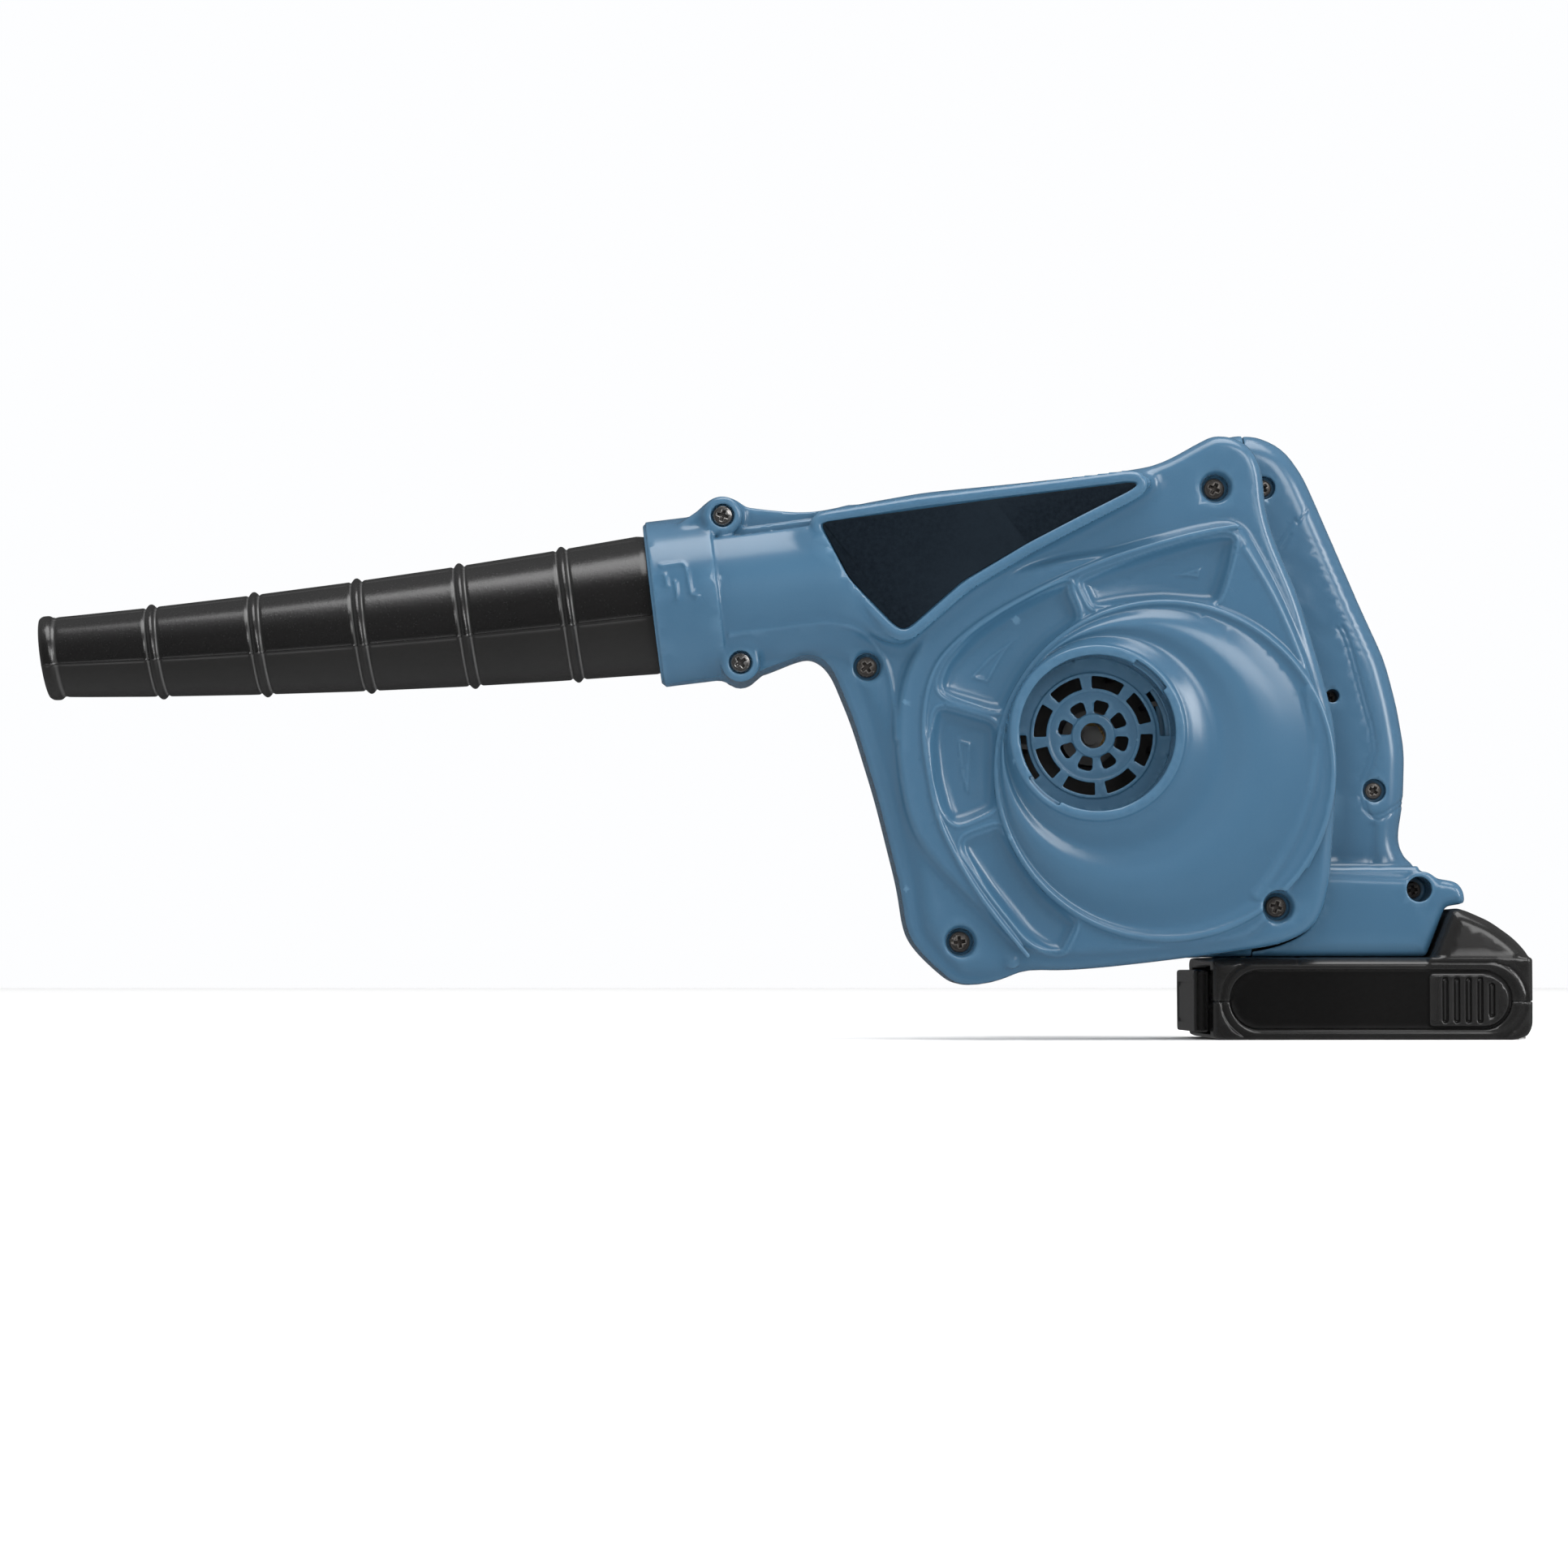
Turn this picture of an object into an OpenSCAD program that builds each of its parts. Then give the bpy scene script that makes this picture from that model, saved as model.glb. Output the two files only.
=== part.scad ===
// Cordless leaf blower: a volute fan housing with a side intake, a pistol handle
// beside it, a tapered outlet nozzle and a slide-on battery pack it stands on.
// Millimetres. X runs from the nozzle (-) to the back of the battery (+), Z is up
// and the intake faces -Y. The origin is the middle of the battery's bottom face.

/* [Fan and motor] */
// Fan axis, measured along X from the middle of the battery
fan_x = -84.6; // [-90:0.2:-80]
// Fan axis, height above the battery's bottom
fan_z = 98.5; // [94:0.5:104]
// Outer radius of the impeller
impeller_radius = 54; // [46:0.5:56]
// Depth of the impeller along its axis
impeller_depth = 20; // [14:0.5:21]
// Number of impeller blades
blade_count = 9; // [5:1:12]
// Thickness of an impeller blade
blade_wall = 1.6; // [1:0.1:2.5]
// Radius of the motor shaft
shaft_radius = 2.5; // [2:0.1:3.5]
// Outer radius of the motor can
can_radius = 21; // [18:0.5:22]
// Length of the motor can
can_length = 52; // [44:1:54]
// Radial gap between rotor and magnets
air_gap = 0.6; // [0.4:0.1:1.2]
// Radial clearance of a shaft in its running bore
spin_fit = 0.06; // [0.02:0.01:0.1]

/* [Housing] */
// Wall of the moulded shells
wall = 2.6; // [2:0.1:3.2]
// Parting plane between fan cover and main shell
part_y = -34; // [-36:0.5:-32]
// Outer back face of the volute
back_y = -8; // [-9:0.5:-7]
// Flat outer face of the fan cover
cover_face_y = -48; // [-49:0.5:-46]
// Face of the duct side that carries the label
label_face_y = -55.4; // [-57:0.2:-54]
// Front edge of the intake neck
mouth_y = -58.4; // [-61:0.2:-57]
// Inner radius of the intake neck
intake_radius = 25; // [22:0.5:26]
// Wall of the intake neck
neck_wall = 3.2; // [2.4:0.2:4]
// Depth from the mouth to the intake grille
grille_depth = 16.4; // [12:0.2:17]
// Thickness of the intake grille
grille_wall = 2; // [1.6:0.1:3]
// How far the grille's edge snaps into the neck's wall
snap_depth = 0.5; // [0.3:0.1:0.8]
// Radius of the raised dome on the cover
dome_radius = 53.5; // [48:0.5:54]
// Radial gap between motor can and motor tube
tube_gap = 4.6; // [3.6:0.2:5]
// Wall of the motor tube
tube_wall = 2.4; // [2:0.1:3]
// Far end of the motor tube
tube_end_y = 58; // [56:0.5:64]

/* [Handle] */
// Half the width of the grip
grip_half = 17; // [15:0.5:19]
// Half the width of the foot over the battery
foot_half = 31; // [29:0.5:33]
// Half the width of the trigger
trigger_half = 6; // [4.5:0.1:7]
// Height of the trigger along the grip
trigger_height = 28; // [22:1:30]
// How far the trigger moves
trigger_travel = 6; // [4:0.5:6.5]
// Clearance around moving plastic parts
slide_gap = 0.4; // [0.3:0.05:0.6]
// Half the width of the switch body
switch_half = 8; // [6:0.5:10]
// Radius of the insulated wires
wire_radius = 1.1; // [0.8:0.1:1.3]

/* [Nozzle] */
// Height of the collar's mouth above the battery's bottom
collar_z = 141.3; // [141:0.1:144]
// Place of the collar's mouth along X
collar_x = -227.5; // [-230:0.5:-225]
// Downward tilt of the collar
collar_tilt = 7; // [5:0.5:8]
// Further bend of the nozzle towards level, root to tip
nozzle_bend = 3.8; // [0:0.1:6]
// Length of the nozzle outside the collar
nozzle_length = 199; // [150:1:260]
// Outer radius of the nozzle at the collar
nozzle_root_radius = 22.2; // [20:0.1:22.6]
// Outer radius of the nozzle at its tip
nozzle_tip_radius = 12.2; // [10:0.1:16]
// Wall of the nozzle
nozzle_wall = 1.8; // [1.4:0.1:2.4]
// Height of the raised rings
ring_height = 1; // [0.6:0.1:1.4]
// Width of the raised rings
ring_width = 6; // [4:0.5:8]
// How far the nozzle reaches into the collar
spigot_length = 17; // [14:0.5:18]
// Outer radius of the collar
collar_radius = 27; // [26:0.1:28]
// Radial clearance of the nozzle in the collar
nozzle_gap = 0.3; // [0.2:0.05:0.5]
// Twist that frees the nozzle
twist_angle = 25; // [15:1:35]

/* [Battery] */
// Length of the battery body
pack_length = 103.9; // [103:0.1:124]
// Width of the battery
pack_width = 75; // [73:0.5:84]
// Height of the battery body
pack_height = 26.2; // [25.6:0.1:26.4]
// Height of the hump behind the foot
hump_height = 43; // [40:0.5:44]
// Wall of the battery case
pack_wall = 2.4; // [2:0.1:2.8]
// Height of the seam between the case halves
seam_z = 12.5; // [11:0.1:16]
// Radius of a cell
cell_radius = 9; // [8.8:0.1:9.1]
// Length of a cell
cell_length = 65; // [60:0.5:66]
// Gap between two cells
cell_gap = 1; // [0.8:0.1:1.2]
// Half the width of the raised deck
deck_half = 22; // [18:0.5:24]
// How far each rail stands out from the deck
rail_reach = 3; // [2:0.2:4]
// Clearance between rails and foot
rail_gap = 0.4; // [0.3:0.05:0.6]
// Half the width of the release button
latch_half = 27; // [24:0.5:30]
// How far the release button moves
latch_travel = 3.5; // [2:0.5:3.5]

/* [Screws] */
// Radius of the screw shanks
screw_radius = 1.5; // [1.2:0.1:1.8]
// Radius of the battery's screw shanks
case_screw_radius = 1.1; // [0.9:0.1:1.2]
// Radius of the deep recesses in the fan cover
recess_radius = 5.2; // [4.6:0.1:5.6]
// Radius of the cover screw heads
cover_head_radius = 3.5; // [3:0.1:4]
// Radius of the handle screw heads
handle_head_radius = 2.7; // [2.6:0.1:3.4]
// Radius of the collar screw heads
collar_head_radius = 3.3; // [3:0.1:3.6]
// Clearance of a screw in the wall it passes through
screw_gap = 0.2; // [0.1:0.05:0.3]
// Clearance of a screw in its threaded boss
thread_gap = 0.05; // [0.02:0.01:0.1]

/* [Hidden] */
$fn = 48;
e = 0.02;

pack_front = -45.5;
pack_back = pack_front + pack_length;
// Heel of the foot, in front of the battery's hump
foot_back = pack_back - 33.4;

// Side outline of the volute and the near end of the duct, seen from the intake.
cover_points = [[-205, 174], [-194, 172.4], [-184, 171.2], [-161, 174.5], [-140, 177.4],
  [-105, 180.8], [-77, 183.7], [-62, 187.4], [-50, 193.4], [-45, 195.8], [-37.5, 194.6],
  [-32, 190], [-29.8, 183], [-29.2, 173], [-26.5, 162.5], [-18.4, 143.4], [-11.8, 121.4],
  [-7.1, 103.3], [-6.2, 91], [-6.8, 76.5], [-8.9, 50], [-11.3, 41], [-14.6, 36.2],
  [-20, 33], [-27, 30.6], [-44, 28.2], [-64, 25.6], [-82, 23.6], [-95.5, 22.6],
  [-107, 23.1], [-115, 19.4], [-122, 18], [-129, 18], [-134.5, 22.2], [-142, 29.5],
  [-145.8, 35.7], [-148, 49], [-155.6, 78.6], [-163.2, 103.4], [-170.5, 121],
  [-176, 124.2], [-186, 119.6], [-193, 116.6], [-205, 116.6]];
// Side outline of the grip and the frame behind the volute.
frame_points = [[-104, 40], [-104, 172], [-77, 178.5], [-58, 186.5], [-47, 194], [-38, 197.8],
  [-29.5, 198.4], [-21, 195.4], [-14, 188.4], [-10.3, 180.4], [-4.4, 167.5], [6.4, 143.6],
  [14.7, 125.1], [18.4, 110], [20.4, 95], [20.2, 78], [18.7, 66], [22.2, 59.3],
  [foot_back + 1, 55], [foot_back + 1, 40], [-52, 31], [-98, 31]];
// Opening for the fingers between motor tube and grip.
finger_points = [[-59, 66], [-26, 64], [-18.6, 78], [-18.6, 100], [-23, 124], [-33, 149],
  [-42, 160], [-56, 160], [-62, 150]];
// Side outline of the foot that holds the battery.
foot_points = [[-51, 27], [foot_back, 27], [foot_back + 6.6, 43.6], [foot_back + 15.6, 44.6],
  [foot_back + 14.8, 49], [foot_back + 11, 52], [foot_back + 3, 53.4], [foot_back, 55.4],
  [-51, 55.4]];
// Side outline of the raised duct side around the label.
land_points = [[-186, 168], [-161, 172], [-105, 178.6], [-66, 183.4], [-58, 180],
  [-92, 165], [-120, 148], [-140, 130], [-150, 128], [-172, 130]];
label_points = [[-172.8, 165.9], [-72, 179.6], [-87.7, 169.8], [-105.9, 160.7],
  [-127.5, 148], [-144.2, 133.4], [-149.6, 134]];
// Line of the rib around the pockets on the cover.
rib_points = [[-38.9, 165.5], [-66.5, 159.3], [-95.5, 148.6], [-123, 133.6], [-137, 117],
  [-140.2, 97], [-135.8, 71.8], [-123, 48], [-106.7, 29], [-94, 26.6], [-60, 29],
  [-30, 34], [-14, 44], [-10.5, 90], [-20, 130]];

cover_screw_at = [[-45.2, 178.6], [-158, 120.5], [-128.1, 31.7], [-25.2, 43.4]];
collar_screw_at = [[-204.6, 168.8], [-198.8, 121.4]];
handle_screw_at = [[10.2, 81.8], [foot_back - 4.5, 48.6], [-22.6, 184.2], [-3.4, 113.1]];

// Scroll radius at angle a, counted from the tongue in the direction of rotation.
tongue_angle = 155;
scroll_start = impeller_radius + 6;
scroll_grow = 18;
function scroll_r(a) = scroll_start + scroll_grow * (a - tongue_angle) / 295;

cover_seat_y = part_y - 4;
grille_y = mouth_y + grille_depth;
tube_inner = can_radius + tube_gap;
tube_outer = tube_inner + tube_wall;
impeller_back_y = back_y - wall - 3.6;
can_y = back_y;
can_wall = 1.6;
magnet_inner = 13.6;
core_radius = magnet_inner - air_gap;
bell_y = can_y + can_length;
bearing_r = 6.5;
bearing_w = 4.4;
station_count = 6;
segment = nozzle_length / station_count;
socket_radius = nozzle_root_radius + nozzle_gap;
lug_reach = 1.9;
lug_width = 30;
lug_length = 6;
pack_half = pack_width / 2;
latch_depth = 4.2;
deck_top = pack_height + 9;
deck_front = -33;
deck_back = pack_back - 24.4;
rail_low = pack_height + 4.6;
rail_high = pack_height + 8.6;
channel_top = deck_top + rail_gap;
cell_pitch = 2 * cell_radius + cell_gap;
cell_count = floor((pack_length - latch_depth - 2 * pack_wall + cell_gap) / cell_pitch);
cell_z = pack_wall + cell_radius + 0.6;
pcb_z = cell_z + cell_radius + 2;
stem_z = cell_z + cell_radius - 0.1;
grip_tilt = 21.8;
block_x = -40.5;
block_top = pack_height + 9.2;
grip_x = -27.6;
grip_z = 136;

// A prism over a side outline, between two planes.
module slab(y0, y1) translate([0, y1, 0]) rotate([90, 0, 0]) linear_extrude(y1 - y0) children();
// A round bar along Y through a point of the side view.
module bar(p, r, y0, y1) translate([p[0], y1, p[1]]) rotate([90, 0, 0]) cylinder(r = r, h = y1 - y0);
module soft(r) offset(r = r, $fn = 24) offset(delta = -r) children();
module cover_profile() soft(2.5) polygon(cover_points);
module frame_profile() difference() {
  soft(2) polygon(frame_points);
  soft(7) polygon(finger_points);
}
module foot_profile() soft(1.5) polygon(foot_points);
module land_profile() soft(5) polygon(land_points);
module air_profile() polygon(concat(
  [for (a = [tongue_angle:7.5:450]) [fan_x + scroll_r(a) * cos(a), fan_z + scroll_r(a) * sin(a)]],
  [[-150, 170], [-184, 164.8], [-184, 128.6], [-150, 130.6]]));
module boss_circles(r) for (p = cover_screw_at) translate(p) circle(r);
module skin_void() difference() {
  offset(delta = -wall) cover_profile();
  offset(delta = wall) air_profile();
  boss_circles(recess_radius + 2);
  translate([-300, 0]) square([106, 300]);
}

// Frames along the bent nozzle. Local +Z points towards the tip.
function tilt_at(i) = collar_tilt - nozzle_bend * i / (station_count - 1);
function station(i) = i == 0 ? [collar_x, collar_z] :
  station(i - 1) - segment * [cos(tilt_at(i - 1)), sin(tilt_at(i - 1))];
function nozzle_r(i) = nozzle_root_radius
  + (nozzle_tip_radius - nozzle_root_radius) * i / station_count;
module along(i, t) translate([station(i)[0], part_y, station(i)[1]])
  rotate([0, -t, 0]) rotate([0, -90, 0]) children();
module collar_frame() along(0, collar_tilt) children();
// Frame of the trigger. Local +X is its travel and x = 0 is the front of the grip.
module trigger_frame() translate([grip_x, 0, grip_z]) rotate([0, -grip_tilt, 0]) children();

// A coil along +Z between 0 and h.
module coil(r, wire, h, turns)
  linear_extrude(height = h, twist = -360 * turns, slices = 10 * turns, convexity = 6, $fn = 6)
  polygon([for (t = [0:40:320]) let (a = 360 * wire * turns / h * cos(t))
    (r + wire * sin(t)) * [cos(a), sin(a)]]);
// A wire through a list of points.
module wire(points) for (i = [0:len(points) - 2]) hull() {
  translate(points[i]) sphere(wire_radius, $fn = 10);
  translate(points[i + 1]) sphere(wire_radius, $fn = 10);
}
// A cross-head screw along Y. Its head starts at y and its point faces +Y.
module screw(p, y, head, head_high, length) difference() {
  union() {
    bar(p, head, y, y + head_high);
    bar(p, screw_radius, y + head_high - e, y + head_high + length);
  }
  translate([p[0], y + 0.6, p[1]]) rotate([0, 45, 0]) {
    cube([head * 1.3, 1.4, 0.8], center = true);
    cube([0.8, 1.4, head * 1.3], center = true);
  }
}

// Outer form of the duct and collar around the nozzle's root.
module duct_outer() collar_frame() {
  translate([0, 0, -1.5]) cylinder(r = collar_radius - 0.8, h = 1.5);
  translate([0, 0, -22]) cylinder(r = collar_radius, h = 20.6);
  translate([0, 0, -56]) cylinder(r = collar_radius - 1, h = 35);
}
module collar_bumps(y0, y1) for (p = collar_screw_at) bar(p, 6, y0, y1);
// Socket, lug groove and entry slots for the nozzle, and the duct behind them.
module duct_inner() collar_frame() {
  translate([0, 0, -spigot_length - nozzle_gap]) cylinder(r = socket_radius, h = 30);
  translate([0, 0, -64]) cylinder(r = nozzle_root_radius - nozzle_wall, h = 64);
  for (k = [0, 180]) rotate([0, 0, k + 75]) {
    translate([0, 0, -spigot_length - nozzle_gap / 2]) rotate_extrude(angle = lug_width + twist_angle + 4)
      square([socket_radius + lug_reach, lug_length + nozzle_gap]);
    rotate([0, 0, twist_angle]) translate([0, 0, -spigot_length + 0.5])
      rotate_extrude(angle = lug_width + 3) square([socket_radius + lug_reach - 0.15, 40]);
  }
}

module fan_cover() color("steelblue") difference() {
  union() {
    difference() {
      union() {
        slab(cover_face_y, part_y) cover_profile();
        slab(label_face_y, part_y) land_profile();
        slab(cover_face_y - 2.4, cover_face_y + e) difference() {
          offset(delta = 1.3) polygon(rib_points);
          offset(delta = -1.3) polygon(rib_points);
        }
        bar([-62, 87], dome_radius, cover_face_y - 4.6, part_y);
        intersection() {
          duct_outer();
          translate([-320, part_y - 60, 60]) cube([220, 60, 140]);
        }
        collar_bumps(part_y - 18, part_y);
      }
      slab(cover_face_y + wall, part_y + e) air_profile();
      slab(cover_face_y + wall, part_y + e) skin_void();
      slab(label_face_y + wall, cover_face_y + wall + e) intersection() {
        offset(delta = -wall) land_profile();
        air_profile();
      }
      difference() {
        bar([-62, 87], dome_radius - wall, cover_face_y - 4.6 + wall, cover_face_y + wall + e);
        for (p = cover_screw_at) bar(p, recess_radius + 2, mouth_y, part_y);
      }
    }
    bar([fan_x, fan_z], intake_radius + neck_wall, mouth_y, grille_y + grille_wall + 1.6);
  }
  bar([fan_x, fan_z], intake_radius, mouth_y - e, grille_y);
  // Groove that the grille snaps into
  bar([fan_x, fan_z], intake_radius + snap_depth, grille_y - 0.4, grille_y + grille_wall);
  bar([fan_x, fan_z], intake_radius - 1.6, grille_y, part_y);
  duct_inner();
  for (p = cover_screw_at) {
    bar(p, recess_radius, mouth_y - 1, cover_seat_y);
    bar(p, screw_radius + screw_gap, mouth_y, part_y + 1);
  }
  for (p = collar_screw_at) {
    bar(p, collar_head_radius + 0.4, mouth_y - 1, part_y - 15.6);
    bar(p, screw_radius + screw_gap, mouth_y, part_y + 1);
  }
}

// Space under the foot that the battery's deck and rails slide in.
module channel() {
  translate([-45, -deck_half - rail_gap, 20])
    cube([120, 2 * (deck_half + rail_gap), channel_top - 20]);
  translate([-45, -deck_half - rail_reach - rail_gap, rail_low - rail_gap])
    cube([120, 2 * (deck_half + rail_reach + rail_gap), channel_top - rail_low + rail_gap]);
}
module grip_grooves(y0, y1) for (i = [0:6])
  translate([3 - 2.6 * i, y0, 139 + 5.7 * i]) rotate([0, 20, 0])
    translate([-11, 0, -0.7]) cube([18, y1 - y0, 1.4]);

module main_shell() color("steelblue") difference() {
  union() {
    difference() {
      union() {
        slab(part_y, back_y) cover_profile();
        intersection() {
          duct_outer();
          translate([-320, part_y, 60]) cube([220, 60, 140]);
        }
        collar_bumps(part_y, part_y + 18);
      }
      slab(part_y - e, back_y - wall) air_profile();
      slab(part_y - e, back_y - wall) skin_void();
    }
    difference() {
      union() {
        slab(back_y - e, 0) intersection() {
          union() { frame_profile(); foot_profile(); }
          offset(delta = 1.2) cover_profile();
        }
        slab(0, grip_half - 2.4) frame_profile();
        slab(grip_half - 2.4 - e, grip_half) offset(delta = -1.4) frame_profile();
        slab(0, foot_half) foot_profile();
      }
      slab(back_y, grip_half - wall) offset(delta = -wall) frame_profile();
      slab(back_y, foot_half - wall) offset(delta = -wall) foot_profile();
    }
    bar([fan_x, fan_z], tube_outer, back_y - e, tube_end_y);
    for (p = cover_screw_at) bar(p, 4.6, part_y, back_y - 1);
    for (p = handle_screw_at) bar(p, 3.6, 0, p[1] < 60 ? foot_half - 1 : grip_half - 1);
    // Ceiling and lips of the battery channel
    intersection() {
      translate([-48, back_y, 27])
        cube([76, deck_half + rail_reach + 4 - back_y, channel_top - 27 + wall]);
      union() {
        slab(0, foot_half) foot_profile();
        slab(back_y, e) intersection() { foot_profile(); offset(delta = 1.2) cover_profile(); }
      }
    }
    // Posts that hold the switch
    trigger_frame() for (z = [-7, 7]) translate([22, switch_half + 0.3, z])
      rotate([-90, 0, 0]) cylinder(r = 2.6, h = grip_half - wall - switch_half + 0.6);
  }
  bar([fan_x, fan_z], tube_inner, back_y, tube_end_y - wall);
  // Shaft and boss opening in the back wall
  bar([fan_x, fan_z], 8.3, back_y - wall - 1, back_y + 1);
  // Vent slots in the end of the motor tube
  for (i = [-2:2]) translate([fan_x - 14, tube_end_y - wall - 1, fan_z - 1.6 + i * 7])
    cube([28, wall + 2, 3.2]);
  // Way for the wires from the tube into the frame above and the foot below
  translate([fan_x + 10, 2, fan_z + 14]) cube([12, 8, 18]);
  translate([fan_x + 10, 2, fan_z - 42]) cube([12, 8, 30]);
  channel();
  translate([-44, 1.5, channel_top - 1]) cube([7, 7, 9]);
  duct_inner();
  for (p = cover_screw_at) bar(p, screw_radius + thread_gap, part_y - 1, back_y - 3);
  for (p = collar_screw_at) bar(p, screw_radius + thread_gap, part_y - 1, part_y + 13);
  for (p = handle_screw_at) bar(p, screw_radius + thread_gap, -1, 12.6);
  // Motor fixing screws
  for (s = [-1, 1]) bar([fan_x + s * 13, fan_z], screw_radius + screw_gap, back_y - 6, back_y + 1);
  // Opening for the trigger
  trigger_frame() translate([-12, -trigger_half - slide_gap, -trigger_height / 2 - slide_gap])
    cube([22, 2 * (trigger_half + slide_gap), trigger_height + 2 * slide_gap]);
  grip_grooves(grip_half - 0.7, grip_half + 1);
}

module handle_shell_left() color("steelblue") difference() {
  union() {
    difference() {
      union() {
        slab(-grip_half + 2.4, 0) frame_profile();
        slab(-grip_half, -grip_half + 2.4 + e) offset(delta = -1.4) frame_profile();
        slab(-foot_half, 0) foot_profile();
      }
      slab(-grip_half + wall, e) offset(delta = -wall) frame_profile();
      slab(-foot_half + wall, e) offset(delta = -wall) foot_profile();
    }
    for (p = handle_screw_at) bar(p, 4.6, (p[1] < 60 ? -foot_half : -grip_half) + 1, 0);
    intersection() {
      translate([-48, -deck_half - rail_reach - 4, 27])
        cube([76, deck_half + rail_reach + 4, channel_top - 27 + wall]);
      slab(-foot_half, 0) foot_profile();
    }
  }
  slab(-foot_half - 1, 1) offset(delta = 1.5) cover_profile();
  translate([-320, -60, 0]) cube([288, 80, 240]);
  channel();
  for (p = handle_screw_at) {
    bar(p, handle_head_radius + 0.9, -60, -grip_half + (p[1] < 60 ? -8 : 4));
    bar(p, screw_radius + screw_gap, -60, 1);
  }
  grip_grooves(-grip_half - 1, -grip_half + 0.7);
}

module side_label() color("darkslategray") slab(label_face_y - 0.8, label_face_y)
  soft(3) polygon(label_points);

module rating_plate() color("darkslategray") slab(foot_half, foot_half + 0.6)
  translate([-36, 38]) soft(2) square([foot_back + 19, 12]);

module intake_grille() color("steelblue") difference() {
  bar([fan_x, fan_z], intake_radius + snap_depth - 0.15, grille_y, grille_y + grille_wall);
  bar([fan_x, fan_z], 4.1, grille_y - 1, grille_y + grille_wall + 1);
  translate([fan_x, grille_y + grille_wall + 1, fan_z]) rotate([90, 0, 0]) for (k = [0:7]) {
    rotate([0, 0, 45 * k + 30]) translate([9.3, 0, 0]) cylinder(r = 2.2, h = grille_wall + 2);
    rotate([0, 0, 45 * k + 12]) rotate_extrude(angle = 36) translate([15.3, 0])
      square([4, grille_wall + 2]);
  }
}

module nozzle() color("#26282a") difference() {
  union() {
    for (i = [0:station_count - 1]) along(i, tilt_at(i)) {
      cylinder(r1 = nozzle_r(i), r2 = nozzle_r(i + 1), h = segment);
      if (i > 0) translate([0, 0, -ring_width / 2])
        cylinder(r = nozzle_r(i) + ring_height, h = ring_width);
    }
    along(station_count - 1, tilt_at(station_count - 1)) translate([0, 0, segment - 4])
      cylinder(r = nozzle_tip_radius + ring_height, h = 4);
    collar_frame() translate([0, 0, -spigot_length]) {
      cylinder(r = nozzle_root_radius, h = spigot_length);
      for (k = [0, 180]) rotate([0, 0, k + 77]) rotate_extrude(angle = lug_width)
        square([nozzle_root_radius + lug_reach, lug_length]);
    }
  }
  for (i = [0:station_count - 1]) along(i, tilt_at(i)) {
    cylinder(r1 = nozzle_r(i) - nozzle_wall, r2 = nozzle_r(i + 1) - nozzle_wall, h = segment);
    // Shallow relief inside each ring, where two lengths of the bore meet
    translate([0, 0, -0.8]) cylinder(r = nozzle_r(i) - nozzle_wall + 0.25, h = 1.6);
  }
  along(station_count - 1, tilt_at(station_count - 1)) translate([0, 0, segment - 8])
    cylinder(r = nozzle_tip_radius - nozzle_wall + 0.4, h = 9);
  collar_frame() translate([0, 0, -spigot_length - 1])
    cylinder(r = nozzle_root_radius - nozzle_wall, h = spigot_length + 1);
}

module impeller() color("#2a2b2d") difference() {
  union() {
    bar([fan_x, fan_z], impeller_radius, impeller_back_y - 1.8, impeller_back_y);
    bar([fan_x, fan_z], 9, impeller_back_y - 12, impeller_back_y);
    translate([fan_x, impeller_back_y - 1, fan_z]) rotate([90, 0, 0]) for (k = [0:blade_count - 1])
      rotate([0, 0, k * 360 / blade_count]) linear_extrude(impeller_depth - 1) intersection() {
        difference() {
          translate([26, -22]) circle(34);
          translate([26, -22]) circle(34 - blade_wall);
        }
        difference() { circle(impeller_radius - 0.6); circle(20); }
        translate([4, 0]) square([60, 60]);
      }
  }
  bar([fan_x, fan_z], 5, -60, 0);
}

module impeller_bush() color("goldenrod") difference() {
  bar([fan_x, fan_z], 5, impeller_back_y - 12, impeller_back_y);
  bar([fan_x, fan_z], shaft_radius, -60, 0);
}

module impeller_nut() color("silver") difference() {
  bar([fan_x, fan_z], 4.4, impeller_back_y - 15.4, impeller_back_y - 12, $fn = 6);
  bar([fan_x, fan_z], shaft_radius, -60, 0);
}

module motor_can() color("silver") difference() {
  union() {
    bar([fan_x, fan_z], can_radius, can_y, bell_y);
    bar([fan_x, fan_z], 8, back_y - wall, can_y + 1);
  }
  bar([fan_x, fan_z], can_radius - can_wall, can_y + 2, bell_y + 1);
  bar([fan_x, fan_z], bearing_r, can_y - 1.6, can_y + 3);
  bar([fan_x, fan_z], shaft_radius + 1, -40, can_y + 3);
  for (s = [-1, 1]) bar([fan_x + s * 13, fan_z], screw_radius + thread_gap, can_y - 1, can_y + 3);
}

module motor_magnets() color("dimgray") translate([fan_x, can_y + 5, fan_z])
  rotate([-90, 0, 0]) for (k = [0, 180]) rotate([0, 0, k - 65]) rotate_extrude(angle = 130)
    translate([magnet_inner, 0]) square([can_radius - can_wall - 0.05 - magnet_inner, 34]);

module motor_end_bell() color("#303234") difference() {
  union() {
    bar([fan_x, fan_z], can_radius, bell_y, bell_y + 3);
    bar([fan_x, fan_z], 8.4, bell_y - 1, bell_y + 6);
    for (s = [-1, 1]) translate([fan_x + s * 13.2 - 5, bell_y - 7.4, fan_z - 4]) cube([10, 7.5, 8]);
  }
  bar([fan_x, fan_z], bearing_r, bell_y, bell_y + bearing_w + 1e-3);
  bar([fan_x, fan_z], shaft_radius + 1, bell_y - 2, bell_y + 8);
  bar([fan_x, fan_z], 7.6, bell_y - 8, bell_y - e);
  for (s = [-1, 1]) translate([fan_x + s * 13.2 - 6, bell_y - 6.2, fan_z - 2.6]) cube([12, 5.2, 5.2]);
}

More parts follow.
